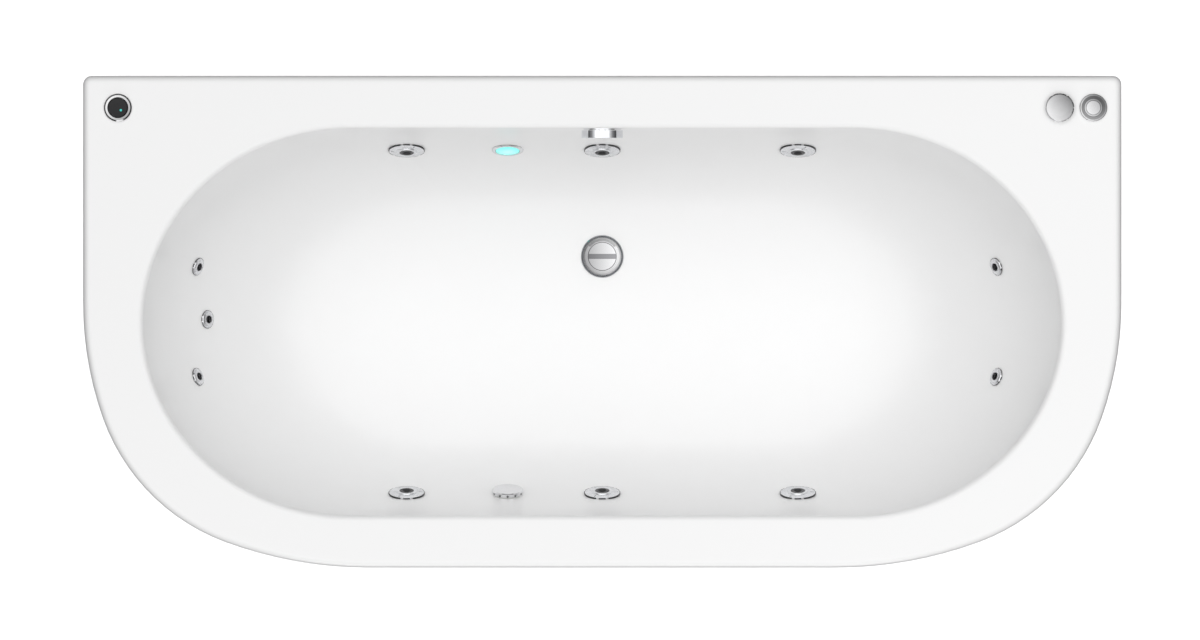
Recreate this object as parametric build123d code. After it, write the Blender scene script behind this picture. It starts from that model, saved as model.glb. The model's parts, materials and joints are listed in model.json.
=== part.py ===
"""A D-shaped, back-to-wall jetted bath in white acrylic, with its fittings and its pump.

Millimetres. +X runs along the bath to the right as seen from above with the wall at the top,
+Y points at the wall and +Z up. The origin is on the floor under the middle of the rim.
"""

from build123d import *
import math
import os

os.makedirs("parts", exist_ok=True)

GAP = 0.3  # rest clearance between curved or loose pieces
RUNNING = 0.05  # radial play of a shaft in its bearing
TRIM_GAP = 0.4  # between a trim ring and the wall it stands on
CUT = 1.0  # how far a cutting shape runs past what it cuts

# Rim and outline, seen from above
LENGTH = 1700.0
WIDTH = 805.0
RIM_HEIGHT = 570.0
WALL = 6.0  # acrylic with its bonded glass fibre
LIP_DEPTH = 40.0
LIP_ROLL = 12.0
TRIM_EDGE = 1.0  # chamfer on the cut lower edge of the lip
BACK_CORNER = 14.0
SIDE_ARC = 561.0
SIDE_ARC_ANGLE = 19.5
FRONT_CORNER_ARC = 336.0
FRONT_CORNER_ANGLE = 50.2
FRONT_ARC = 676.0

# Basin
BASIN_DEPTH = 430.0
RIM_HALF_LENGTH = 752.0
RIM_HALF_WIDTH = 317.0
FLOOR_HALF_LENGTH = 430.0
FLOOR_HALF_WIDTH = 150.0
END_RATIO = 340.0 / 317.0  # length to width of the rounded ends
END_EXPONENT = 2.0  # lower is a more laid-back end
SIDE_EXPONENT = 2.8
INNER_EDGE_RADIUS = 9.0

# Side jets: three in each long wall
SIDE_JET_SPACING = 322.5
SIDE_JET_DROP = 326.0  # below the rim
SIDE_RING_RADIUS = 29.5
SIDE_RING_RISE = 6.0  # top of the collar above the wall
COLLAR_RADIUS = 17.4
COLLAR_RISE = 1.6
GRIP_RADIUS = 23.0
JET_TUBE_RADIUS = 22.0
JET_TUBE_LENGTH = 54.0
JET_FLANGE_RADIUS = 27.0
JET_FLANGE_THICKNESS = 2.0
JET_SOCKET_RADIUS = 18.0
JET_SOCKET_DEPTH = 13.5
JET_SPIGOT_DEPTH = 8.0
JET_BORE_RADIUS = 9.0
JET_END_WALL = 4.0
JET_PAD_RADIUS = 34.0  # flat boss behind the wall
JET_NUT_RADIUS = 30.0
PORT_DISTANCE = 38.0  # from the wall to the pipe ports of a jet
WATER_PORT_RADIUS = 13.0
AIR_PORT_RADIUS = 7.0
AIR_PORT_WALL = 2.5
EYEBALL_RADIUS = 14.0
EYEBALL_BORE = 5.0
EYEBALL_MOUTH = 7.5
EYEBALL_PLAY = 0.4
EYEBALL_FACE_RADIUS = 12.0  # opening of the ring in front of the ball
EYEBALL_FRONT = 8.4
EYEBALL_REAR = 10.0

# Small jets in the rounded ends: distance from the long centre line, drop below the rim
LEFT_MICRO_JETS = {1: (91.0, 268.0), 2: (4.0, 312.0), 3: (-91.0, 268.0)}
RIGHT_MICRO_JETS = {4: (91.0, 293.0), 5: (-91.0, 293.0)}
MICRO_FACE_RADIUS = 15.0
MICRO_FACE_RISE = 4.8
MICRO_HOLE_RADIUS = 6.6
MICRO_TUBE_RADIUS = 12.0
MICRO_TUBE_LENGTH = 38.0
MICRO_PORT_DISTANCE = 26.0
MICRO_PORT_RADIUS = 9.0
MICRO_PORT_WALL = 2.5
MICRO_FLANGE_RADIUS = 13.5
MICRO_FLANGE_THICKNESS = 1.5
MICRO_SOCKET_RADIUS = 10.0
MICRO_SOCKET_DEPTH = 12.0
MICRO_SPIGOT_DEPTH = 7.0
MICRO_NOZZLE_RADIUS = 4.5
MICRO_NOZZLE_BORE = 2.5
MICRO_NOZZLE_RECESS = 2.0
MICRO_END_WALL = 4.0
MICRO_PAD_RADIUS = 20.0
MICRO_NUT_RADIUS = 18.0

# Light and suction, both left of the middle
SERVICE_X = -156.0
LIGHT_RADIUS = 26.0
LIGHT_TUBE_RADIUS = 20.0
LIGHT_TUBE_LENGTH = 44.0
LIGHT_NUT_RADIUS = 28.0
LIGHT_PAD_RADIUS = 31.0
LENS_RADIUS = 19.6
LENS_RISE = 4.8
CABLE_GLAND_RADIUS = 7.0
CABLE_GLAND_BORE = 3.0
CABLE_GLAND_LENGTH = 14.0
SUCTION_COVER_RADIUS = 25.7
SUCTION_COVER_RISE = 10.2
SUCTION_SKIRT = 3.3
SUCTION_PORT_RADIUS = 20.0
SUCTION_PORT_DISTANCE = 34.0
SUCTION_TUBE_LENGTH = 56.0
SUCTION_FLANGE_RADIUS = 24.5
SUCTION_BORE_RADIUS = 17.5

# Seats pressed into the wall behind each fitting
BOSS_HEIGHT = 3.0
SEAL_THICKNESS = 2.0
NUT_THICKNESS = 8.0
HOLE_PLAY = 0.5
FACING_MARGIN = 1.0  # flat facing in the wall beyond a fitting's rim

# Water and air pipes
RING_HEIGHT = 185.0
RING_END = 680.0
RING_CORNER = 200.0
RING_RADIUS = 16.0
PIPE_WALL = 3.0
PORT_END_HEIGHT = 203.0
SUCTION_JOINT_HEIGHT = 199.0
RING_GAP = 40.0  # the ring stops this far from the middle jet and from the left jet
PUMP_BRANCH = 14.0  # from the pump's axis to the pipe that rises from it
AIR_HEIGHT = 285.0
AIR_RADIUS = 8.0
AIR_PIPE_WALL = 2.0
AIR_END = 740.0
AIR_START_X = 480.0
AIR_TAIL = 25.0  # the air line runs this far past the last jet
SUCTION_HEIGHT = 115.0
SUCTION_TURN_X = 480.0
SUCTION_TURN_Y = -262.0

# Waste and overflow
WASTE_Y = 108.0
WASTE_RADIUS = 35.0
WASTE_NECK_RADIUS = 23.0
WASTE_NECK_WALL = 2.0
WASTE_NECK_LENGTH = 30.0
PLUG_RADIUS = 31.5
PLUG_RISE = 10.2
PLUG_STEM_RADIUS = 4.0
PLUG_STEM_LENGTH = 40.0
WASTE_BODY_LENGTH = 54.0
WASTE_PORT_DROP = 40.0
WASTE_PORT_REACH = 38.0
OVERFLOW_DROP = 65.0
OVERFLOW_RADIUS = 34.0
OVERFLOW_RING_RADIUS = 31.0
OVERFLOW_PROUD = 16.0
OVERFLOW_SKIRT = 2.8
OVERFLOW_HUB_RADIUS = 5.0
NOTCH_WIDTH = 13.0
OVERFLOW_TUBE_RADIUS = 20.0
OVERFLOW_BORE_RADIUS = 16.0
OVERFLOW_PORT_DISTANCE = 32.0
OVERFLOW_PIPE_RADIUS = 12.5
OVERFLOW_PIPE_WALL = 2.0
OVERFLOW_JOINT_HEIGHT = 455.0
WASTE_PIPE_RADIUS = 21.5
TRAP_BOTTOM = 16.0
TRAP_CUP_RADIUS = 42.0
TRAP_OUTLET_HEIGHT = 48.0
TRAP_OUTLET_START = 50.0
TRAP_OUTLET_LENGTH = 42.0

# Controls on the rim
DECK_Y = 350.5
LIGHT_SWITCH_X = -793.0
AIR_KNOB_X = 749.0
AIR_BUTTON_X = 804.0
LIGHT_SWITCH_RADIUS = 22.8
LIGHT_SWITCH_TUBE_RADIUS = 18.0
LIGHT_BUTTON_RADIUS = 15.8
LIGHT_BUTTON_RISE = 6.3
AIR_KNOB_RADIUS = 23.25
AIR_KNOB_RISE = 12.6
AIR_KNOB_SKIRT = 1.85
AIR_VALVE_FLANGE_RADIUS = 21.0
AIR_VALVE_TUBE_RADIUS = 17.0
AIR_VALVE_BORE_RADIUS = 13.0
SPINDLE_RADIUS = 4.0
SPINDLE_LENGTH = 12.0
AIR_BUTTON_RING_RADIUS = 22.5
AIR_SWITCH_TUBE_RADIUS = 14.0
AIR_BUTTON_RADIUS = 12.0
AIR_BUTTON_RISE = 7.1
AIR_VALVE_BOTTOM = 478.0
BUTTON_PLAY = 0.3
DECK_NUT_WIDTH = 7.0
DECK_NUT_THICKNESS = 10.0

# Board, frame and feet
BOARD_LENGTH = 1000.0
BOARD_WIDTH = 440.0
BOARD_THICKNESS = 18.0
RAIL_X = 400.0
RAIL_HALF_LENGTH = 280.0
RAIL_WIDTH = 40.0
RAIL_HEIGHT = 25.0
RAIL_SHEET = 2.5
FOOT_Y = 250.0
FOOT_ROD_RADIUS = 6.0
FOOT_ROD_TOP = 150.0
FOOT_PAD_RADIUS = 25.0
FOOT_PAD_HEIGHT = 24.0
SCREW_Y = (-180.0, -60.0, 60.0, 180.0)
SCREW_RADIUS = 3.0
SCREW_HEAD_RADIUS = 6.5
ROD_NUT_RADIUS = 10.4
ROD_NUT_HEIGHT = 10.0

# Front panel
PANEL_INSET = 12.0
PANEL_SHEET = 4.0
PANEL_FLANGE = 11.0
PANEL_FLOOR_GAP = 5.0

# Pump
PUMP_X = 694.0
PUMP_AXIS_HEIGHT = 85.0
PUMP_INLET_Y = -176.0
WET_END_FRONT = -150.0
WET_END_BACK = -62.0
PUMP_OUTLET_Y = -95.0
VOLUTE_RADIUS = 74.0
MOTOR_RADIUS = 56.0
MOTOR_BACK = 120.0
COWL_BACK = 172.0
FIN_COUNT = 24
FIN_HEIGHT = 6.0
PUMP_BASE_HALF_X = 62.0
PUMP_BASE_THICKNESS = 8.0
PUMP_PAD_RADIUS = 12.0
PUMP_PAD_HEIGHT = 8.0

# Control box
CONTROL_BOX_X = 150.0
CONTROL_BOX_Y = -10.0
CONTROL_BOX_LENGTH = 160.0
CONTROL_BOX_WIDTH = 120.0
CONTROL_BOX_HEIGHT = 42.0
CONTROL_BOX_FOOT = 4.0
GLAND_SPACING = 35.0
GLAND_RADIUS = 9.0
GLAND_BORE = 4.0

# Wall clips
CLIP_X = 520.0
CLIP_WIDTH = 40.0
CLIP_SHEET = 3.0
CLIP_HEIGHT = 60.0
CLIP_HOLE_RADIUS = 3.2
CLIP_HOLE_SPACING = 22.0

# Worked out from the sizes above
FLOOR_HEIGHT = RIM_HEIGHT - BASIN_DEPTH
SHELL_BOTTOM = FLOOR_HEIGHT - WALL
BOARD_TOP = SHELL_BOTTOM - GAP
BOARD_BOTTOM = BOARD_TOP - BOARD_THICKNESS
RAIL_BOTTOM = BOARD_BOTTOM - RAIL_HEIGHT
DECK_UNDERSIDE = RIM_HEIGHT - WALL
PUMP_OUTLET_TOP = PUMP_AXIS_HEIGHT + VOLUTE_RADIUS + 4
SEAT = WALL + BOSS_HEIGHT  # wall thickness at a fitting
BACK = WIDTH / 2


def save(name, shape):
    """Write one piece, or one group of like pieces, to its own file."""
    solids = shape.solids()
    whole = solids[0] if len(solids) == 1 else Compound(children=list(solids))
    whole.label = name
    export_step(whole, f"parts/{name}.step")


def rod(radius, low, high):
    """A round bar along Z between two heights."""
    return Pos(0, 0, low) * Cylinder(radius, high - low, align=(Align.CENTER, Align.CENTER, Align.MIN))


def tube(outer, inner, low, high):
    """A round tube along Z between two heights."""
    return rod(outer, low, high) - rod(inner, low - CUT, high + CUT)


def block(x0, x1, y0, y1, z0, z1):
    """A box given by its six faces."""
    return Pos((x0 + x1) / 2, (y0 + y1) / 2, (z0 + z1) / 2) * Box(x1 - x0, y1 - y0, z1 - z0)


def turned(*points):
    """A piece turned on a lathe: its outline is given as radius and height, about Z."""
    outline = Polyline([(r, 0, z) for r, z in points], close=True)
    return revolve(make_face(outline), Axis.Z)


def pipe(points, radii, outer, inner):
    """A bent pipe along straight runs with rounded corners."""
    path = FilletPolyline(*points, radius=radii)
    start = Plane(origin=path @ 0, z_dir=path % 0)
    return sweep(start * Circle(outer) - start * Circle(inner), path=path)


def solid_pipe(points, radii, outer):
    """The same run as a bar, for cutting or for closed ends."""
    path = FilletPolyline(*points, radius=radii)
    return sweep(Plane(origin=path @ 0, z_dir=path % 0) * Circle(outer), path=path)


def blend(fraction, exponent):
    """How far in a basin wall has come at a fraction of its depth: 1 at the rim, 0 at the floor."""
    return max(0.0, 1 - min(fraction, 1.0) ** exponent) ** (1 / exponent)


def half_length(drop, wall=0.0):
    part = blend(drop / (BASIN_DEPTH + wall), END_EXPONENT)
    return FLOOR_HALF_LENGTH + (RIM_HALF_LENGTH + wall - FLOOR_HALF_LENGTH) * part


def half_width(drop, wall=0.0):
    part = blend(drop / (BASIN_DEPTH + wall), SIDE_EXPONENT)
    return FLOOR_HALF_WIDTH + (RIM_HALF_WIDTH + wall - FLOOR_HALF_WIDTH) * part


def straight_half(drop, wall=0.0):
    """Half of the straight stretch of the long walls at a given drop."""
    return half_length(drop, wall) - half_width(drop, wall) * END_RATIO


def basin_section(drop, wall=0.0):
    """The level outline of the basin: two straight sides and two half ellipses."""
    straight = straight_half(drop, wall)
    across = half_width(drop, wall)
    along = across * END_RATIO
    right = EllipticalCenterArc((straight, 0), along, across, start_angle=-90, arc_size=180)
    left = EllipticalCenterArc((-straight, 0), along, across, start_angle=90, arc_size=180)
    back = Line(right @ 1, left @ 0)
    front = Line(left @ 1, right @ 0)
    return Pos(0, 0, RIM_HEIGHT - drop) * make_face([right, back, left, front])


def basin(wall=0.0, first=0.0):
    """The basin as a solid plug, grown by a wall thickness."""
    parts = (0.0, 0.14, 0.28, 0.42, 0.55, 0.67, 0.78, 0.87, 0.94, 0.985, 1.0)
    depth = BASIN_DEPTH + wall
    return loft([basin_section(first + (depth - first) * part, wall) for part in parts])


def rim_outline(inset, back=BACK):
    """The D-shaped outline, drawn in from the edge of the rim by an inset."""
    first = math.radians(SIDE_ARC_ANGLE)
    both = math.radians(SIDE_ARC_ANGLE + FRONT_CORNER_ANGLE)
    drop = SIDE_ARC * math.sin(first) + FRONT_CORNER_ARC * (math.sin(both) - math.sin(first))
    drop += FRONT_ARC * (1 - math.sin(both))
    corner = max(BACK_CORNER - inset, 1.0)
    centre_1 = Vector(LENGTH / 2 - SIDE_ARC, drop - WIDTH / 2)
    step = SIDE_ARC - FRONT_CORNER_ARC
    centre_2 = centre_1 + Vector(step * math.cos(first), -step * math.sin(first))
    step = FRONT_CORNER_ARC - FRONT_ARC
    centre_3 = centre_2 + Vector(step * math.cos(both), -step * math.sin(both))
    side = LENGTH / 2 - inset
    arc_1 = CenterArc(centre_1, SIDE_ARC - inset, 0, -SIDE_ARC_ANGLE)
    arc_2 = CenterArc(centre_2, FRONT_CORNER_ARC - inset, -SIDE_ARC_ANGLE, -FRONT_CORNER_ANGLE)
    turned_so_far = SIDE_ARC_ANGLE + FRONT_CORNER_ANGLE
    arc_3 = CenterArc(centre_3, FRONT_ARC - inset, -turned_so_far, turned_so_far - 90)
    back_corner = CenterArc((side - corner, back - corner), corner, 90, -90)
    right = [
        Line((0, back), back_corner @ 0),
        back_corner,
        Line(back_corner @ 1, arc_1 @ 0),
        arc_1,
        arc_2,
        arc_3,
        Line(arc_3 @ 1, (0, (arc_3 @ 1).Y)),
    ]
    left = [edge.mirror(Plane.YZ) for edge in right]
    return make_face(right + left)


def prism(face, low, high):
    """A level face raised between two heights."""
    return Pos(0, 0, low) * extrude(face, high - low)


def outward(x, y, drop):
    """The direction out through the basin wall at a point of it."""

    def level(px, py, pdrop):
        past = max(abs(px) - straight_half(pdrop), 0.0)
        across = half_width(pdrop)
        return (past / (across * END_RATIO)) ** 2 + (py / across) ** 2

    step = 0.05
    slope_x = level(x + step, y, drop) - level(x - step, y, drop)
    slope_y = level(x, y + step, drop) - level(x, y - step, drop)
    slope_z = level(x, y, drop - step) - level(x, y, drop + step)
    return Vector(slope_x, slope_y, slope_z).normalized()


def wall_seat(x, y, drop):
    """A plane on the basin wall, Z into the basin and X level along the wall."""
    out = outward(x, y, drop)
    along = Vector(0, 0, 1).cross(out)
    return Plane(origin=(x, y, RIM_HEIGHT - drop), x_dir=along, z_dir=-out)


def side_seat(x, side, drop):
    """Seat in a long wall; side is 1 at the back and -1 at the front."""
    return wall_seat(x, side * half_width(drop), drop)


def end_seat(y, side, drop):
    """Seat in a rounded end; side is 1 on the right and -1 on the left."""
    across = half_width(drop)
    reach = across * END_RATIO * math.sqrt(1 - (y / across) ** 2)
    return wall_seat(side * (straight_half(drop) + reach), y, drop)


def behind(seat, distance):
    """The point a given distance behind the wall on a fitting's axis."""
    return seat.origin - seat.z_dir * distance


def drilled_seat(shell, seat, tube_radius, pad, face):
    """Give the wall a flat boss outside, a flat facing inside and a hole for one fitting."""
    shell = shell + seat * rod(pad, -SEAT, 0)
    shell = shell - seat * rod(face + FACING_MARGIN, 0, 3 * WALL)
    return shell - seat * rod(tube_radius + HOLE_PLAY, -3 * WALL, WALL)


SIDE_JETS = {}
for side, row in ((1, "back"), (-1, "front")):
    for number, place in enumerate((-1, 0, 1), start=1):
        SIDE_JETS[f"{row}_{number}"] = side_seat(place * SIDE_JET_SPACING, side, SIDE_JET_DROP)
MICRO_JETS = {n: end_seat(y, -1, drop) for n, (y, drop) in LEFT_MICRO_JETS.items()}
MICRO_JETS.update({n: end_seat(y, 1, drop) for n, (y, drop) in RIGHT_MICRO_JETS.items()})
LIGHT_SEAT = side_seat(SERVICE_X, 1, SIDE_JET_DROP)
SUCTION_SEAT = side_seat(SERVICE_X, -1, SIDE_JET_DROP)
OVERFLOW_SEAT = Plane(
    origin=(0, half_width(OVERFLOW_DROP), RIM_HEIGHT - OVERFLOW_DROP), x_dir=(-1, 0, 0), z_dir=(0, -1, 0)
)
RING_SIDE = behind(SIDE_JETS["back_1"], PORT_DISTANCE).Y
OVERFLOW_PORT_Y = behind(OVERFLOW_SEAT, OVERFLOW_PORT_DISTANCE).Y

DECK_FITTINGS = {
    "light_switch": (LIGHT_SWITCH_X, LIGHT_SWITCH_TUBE_RADIUS),
    "air_valve": (AIR_KNOB_X, AIR_VALVE_TUBE_RADIUS),
    "air_switch": (AIR_BUTTON_X, AIR_SWITCH_TUBE_RADIUS),
}


def make_tub_shell():
    """The acrylic moulding: rim with rolled edge, basin, and a seat for every fitting."""
    rim = prism(rim_outline(0), RIM_HEIGHT - LIP_DEPTH, RIM_HEIGHT)
    rim = fillet(rim.edges().group_by(Axis.Z)[-1], LIP_ROLL)
    rim = chamfer(rim.edges().group_by(Axis.Z)[0], TRIM_EDGE)
    hollow = prism(rim_outline(WALL, BACK - WALL), RIM_HEIGHT - LIP_DEPTH - 1, DECK_UNDERSIDE)
    hollow = fillet(hollow.edges().group_by(Axis.Z)[-1], LIP_ROLL - WALL)
    shell = rim - hollow + basin(WALL, first=WALL / 2) - basin()
    inner_edge = [
        edge
        for edge in shell.edges().group_by(Axis.Z)[-1]
        if abs(edge.center().Z - RIM_HEIGHT) < 0.01 and abs((edge @ 0.5).Y) < RIM_HALF_WIDTH + 1
        and abs((edge @ 0.5).X) < RIM_HALF_LENGTH + 1
    ]
    shell = fillet(inner_edge, INNER_EDGE_RADIUS)
    for seat in SIDE_JETS.values():
        shell = drilled_seat(shell, seat, JET_TUBE_RADIUS, JET_PAD_RADIUS, SIDE_RING_RADIUS)
    for seat in MICRO_JETS.values():
        shell = drilled_seat(shell, seat, MICRO_TUBE_RADIUS, MICRO_PAD_RADIUS, MICRO_FACE_RADIUS)
    shell = drilled_seat(shell, LIGHT_SEAT, LIGHT_TUBE_RADIUS, LIGHT_PAD_RADIUS, LIGHT_RADIUS)
    shell = drilled_seat(shell, SUCTION_SEAT, JET_TUBE_RADIUS, JET_PAD_RADIUS, SUCTION_COVER_RADIUS)
    ring = OVERFLOW_RING_RADIUS
    shell = drilled_seat(shell, OVERFLOW_SEAT, OVERFLOW_TUBE_RADIUS, ring + FACING_MARGIN, ring)
    for x, radius in DECK_FITTINGS.values():
        shell -= Pos(x, DECK_Y) * rod(radius + HOLE_PLAY, DECK_UNDERSIDE - CUT, RIM_HEIGHT + CUT)
    shell -= Pos(0, WASTE_Y) * rod(WASTE_NECK_RADIUS + HOLE_PLAY, SHELL_BOTTOM - CUT, FLOOR_HEIGHT + CUT)
    return shell


def make_front_panel():
    """One moulded skirt round the ends and the front, flanged at the top, the foot and the wall."""
    open_back = BACK + 50
    outside = rim_outline(PANEL_INSET, BACK - PANEL_INSET)
    skin = outside - rim_outline(PANEL_INSET + PANEL_SHEET, open_back)
    flange = outside - rim_outline(PANEL_INSET + PANEL_FLANGE, open_back)
    panel = prism(skin, PANEL_FLOOR_GAP, DECK_UNDERSIDE)
    panel += prism(flange, DECK_UNDERSIDE - PANEL_SHEET, DECK_UNDERSIDE)
    panel += prism(flange, PANEL_FLOOR_GAP, PANEL_FLOOR_GAP + PANEL_SHEET)
    edge = LENGTH / 2 - PANEL_INSET
    end = BACK - PANEL_INSET - BACK_CORNER
    for side in (-1, 1):
        x0, x1 = sorted((side * edge, side * (edge - PANEL_FLANGE)))
        panel += block(x0, x1, end, end + PANEL_SHEET, PANEL_FLOOR_GAP, DECK_UNDERSIDE)
    return panel


def make_baseboard():
    """The board bonded under the floor, which carries the frame."""
    board = block(
        -BOARD_LENGTH / 2, BOARD_LENGTH / 2, -BOARD_WIDTH / 2, BOARD_WIDTH / 2, BOARD_BOTTOM, BOARD_TOP
    )
    board = fillet(board.edges().filter_by(Axis.Z), 30)
    return board - Pos(0, WASTE_Y) * rod(WASTE_RADIUS + 3, BOARD_BOTTOM - 1, SHELL_BOTTOM + 1)


FEET = {
    f"foot_{row}_{end}": (x * RAIL_X, y * FOOT_Y)
    for y, row in ((1, "back"), (-1, "front"))
    for x, end in ((-1, "left"), (1, "right"))
}


def make_cross_rails():
    """Two folded steel channels across the board, open downwards."""
    rails = []
    for side in (-1, 1):
        x = side * RAIL_X
        half = RAIL_WIDTH / 2
        rail = block(x - half, x + half, -RAIL_HALF_LENGTH, RAIL_HALF_LENGTH, RAIL_BOTTOM, BOARD_BOTTOM)
        rail = fillet(rail.edges().filter_by(Axis.Y).group_by(Axis.Z)[-1], RAIL_SHEET)
        inner = half - RAIL_SHEET
        end = RAIL_HALF_LENGTH + 1
        rail -= block(x - inner, x + inner, -end, end, RAIL_BOTTOM - 1, BOARD_BOTTOM - RAIL_SHEET)
        for y in SCREW_Y:
            rail -= Pos(x, y) * rod(SCREW_RADIUS + 0.4, RAIL_BOTTOM, BOARD_BOTTOM + CUT)
        for y in (-FOOT_Y, FOOT_Y):
            rail -= Pos(x, y) * rod(FOOT_ROD_RADIUS + GAP, RAIL_BOTTOM, BOARD_BOTTOM + CUT)
        rails.append(rail)
    return Compound(children=rails)


def make_frame_fasteners():
    """The board screws and, on each foot's rod, a nut above and below the rail."""
    pieces = []
    for side in (-1, 1):
        for y in SCREW_Y:
            head = rod(SCREW_HEAD_RADIUS, BOARD_BOTTOM - RAIL_SHEET - 4, BOARD_BOTTOM - RAIL_SHEET)
            shank = rod(SCREW_RADIUS, BOARD_BOTTOM - RAIL_SHEET, BOARD_BOTTOM - GAP)
            pieces.append(Pos(side * RAIL_X, y) * (head + shank))
    hexagon = RegularPolygon(ROD_NUT_RADIUS, 6) - Circle(FOOT_ROD_RADIUS + GAP)
    for x, y in FEET.values():
        for low in (BOARD_BOTTOM, BOARD_BOTTOM - RAIL_SHEET - ROD_NUT_HEIGHT):
            pieces.append(Pos(x, y, low) * extrude(hexagon, ROD_NUT_HEIGHT))
    return Compound(children=pieces)


def make_foot(x, y):
    """A levelling foot: a moulded pad on a threaded rod."""
    neck = FOOT_ROD_RADIUS + 5
    edge = FOOT_PAD_RADIUS
    top = FOOT_PAD_HEIGHT
    pad = turned((0, 0), (edge, 0), (edge, 5), (neck + 2, top / 2), (neck, top), (0, top))
    return Pos(x, y) * (pad + rod(FOOT_ROD_RADIUS, top - 4, FOOT_ROD_TOP))


def make_side_jet_body(seat):
    """Jet housing behind the wall, with a water port below and an air port above."""
    body = rod(JET_TUBE_RADIUS, -JET_TUBE_LENGTH, 0) + rod(JET_FLANGE_RADIUS, 0, JET_FLANGE_THICKNESS)
    body = seat * body
    centre = behind(seat, PORT_DISTANCE)
    port = Pos(centre.X, centre.Y)
    body += port * rod(WATER_PORT_RADIUS, PORT_END_HEIGHT, centre.Z)
    body += port * rod(AIR_PORT_RADIUS, centre.Z, AIR_HEIGHT - AIR_RADIUS)
    body -= seat * rod(JET_SOCKET_RADIUS, -JET_SOCKET_DEPTH, JET_FLANGE_THICKNESS + CUT)
    body -= seat * rod(JET_BORE_RADIUS, JET_END_WALL - JET_TUBE_LENGTH, 0)
    body -= port * rod(WATER_PORT_RADIUS - PIPE_WALL, PORT_END_HEIGHT - CUT, centre.Z)
    return body - port * rod(AIR_PORT_RADIUS - AIR_PORT_WALL, centre.Z, AIR_HEIGHT)


SOCKET_BALL_RADIUS = EYEBALL_RADIUS + EYEBALL_PLAY
BALL_CENTRE = SIDE_RING_RISE - math.sqrt(SOCKET_BALL_RADIUS**2 - EYEBALL_FACE_RADIUS**2)


def make_side_jet_ring(seat):
    """The turning trim ring of a side jet, with a round seat for its eyeball."""
    under = JET_FLANGE_THICKNESS + GAP
    inner = JET_FLANGE_RADIUS + TRIM_GAP
    spigot = JET_SOCKET_RADIUS - GAP
    shoulder = SIDE_RING_RISE - COLLAR_RISE
    ring = turned(
        (inner, TRIM_GAP), (SIDE_RING_RADIUS, TRIM_GAP), (SIDE_RING_RADIUS, shoulder / 2),
        (SIDE_RING_RADIUS - 0.9, shoulder * 3 / 4), (COLLAR_RADIUS, shoulder),
        (COLLAR_RADIUS - 1, SIDE_RING_RISE), (0, SIDE_RING_RISE), (0, -JET_SPIGOT_DEPTH),
        (spigot, -JET_SPIGOT_DEPTH), (spigot, under), (inner, under)
    )
    ring -= Pos(0, 0, BALL_CENTRE) * Sphere(SOCKET_BALL_RADIUS)
    ring -= rod(SOCKET_BALL_RADIUS, -JET_SPIGOT_DEPTH - CUT, BALL_CENTRE)
    for place in PolarLocations(GRIP_RADIUS, 3):
        ring -= place * (Pos(0, 0, shoulder - 1) * Box(7.0, 1.6, 1.4))
    return seat * ring


def make_eyeball(seat):
    """The aiming ball of a side jet, cut flat in front and behind and bored through."""
    ball = Sphere(EYEBALL_RADIUS) & rod(EYEBALL_RADIUS + CUT, -EYEBALL_REAR, EYEBALL_FRONT)
    mouth = Pos(0, 0, EYEBALL_FRONT - 1.5) * Cone(EYEBALL_BORE, EYEBALL_MOUTH, 3)
    bore = rod(EYEBALL_BORE, -EYEBALL_RADIUS, EYEBALL_RADIUS) + mouth
    return seat * (Pos(0, 0, BALL_CENTRE) * (ball - bore))


def make_micro_jet_body(seat):
    """Housing of a small jet, with its fixed nozzle and a port pointing down."""
    centre = behind(seat, MICRO_PORT_DISTANCE)
    port = Pos(centre.X, centre.Y)
    top = MICRO_FLANGE_THICKNESS + CUT
    body = rod(MICRO_TUBE_RADIUS, -MICRO_TUBE_LENGTH, 0)
    body += rod(MICRO_FLANGE_RADIUS, 0, MICRO_FLANGE_THICKNESS)
    body = seat * body + port * rod(MICRO_PORT_RADIUS, PORT_END_HEIGHT, centre.Z)
    socket = rod(MICRO_SOCKET_RADIUS, -MICRO_SOCKET_DEPTH, top)
    nozzle = rod(MICRO_NOZZLE_RADIUS, -MICRO_SOCKET_DEPTH - CUT, -MICRO_NOZZLE_RECESS)
    body -= seat * (socket - nozzle)
    body -= seat * rod(MICRO_NOZZLE_BORE, MICRO_END_WALL - MICRO_TUBE_LENGTH, top)
    return body - port * rod(MICRO_PORT_RADIUS - MICRO_PORT_WALL, PORT_END_HEIGHT - CUT, centre.Z)


def make_micro_jet_face(seat):
    """The domed turning face of a small jet."""
    under = MICRO_FLANGE_THICKNESS + GAP
    inner = MICRO_FLANGE_RADIUS + GAP
    spigot = MICRO_SOCKET_RADIUS - GAP
    edge = MICRO_FACE_RADIUS
    face = turned(
        (inner, TRIM_GAP), (edge, TRIM_GAP), (edge, under), (edge - 1.6, MICRO_FACE_RISE - 1.4),
        (edge - 4.4, MICRO_FACE_RISE - 0.4), (edge - 7, MICRO_FACE_RISE),
        (MICRO_HOLE_RADIUS, MICRO_FACE_RISE - 0.6), (MICRO_HOLE_RADIUS, -MICRO_SPIGOT_DEPTH),
        (spigot, -MICRO_SPIGOT_DEPTH), (spigot, under), (inner, under)
    )
    for place in PolarLocations(edge - GAP, 3):
        face -= place * (Pos(0, 0, 3) * Box(3.2, 1.4, 3.2))
    return seat * face


def nut(inner, outer, notches=8):
    """A round back nut with grip notches, against the seal behind the wall."""
    ring = tube(outer, inner, -SEAT - SEAL_THICKNESS - NUT_THICKNESS, -SEAT - SEAL_THICKNESS)
    for place in PolarLocations(outer, notches):
        ring -= place * Cylinder(3.0, 80)
    return ring


def seal(inner, outer):
    return tube(outer, inner, -SEAT - SEAL_THICKNESS, -SEAT)


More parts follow.
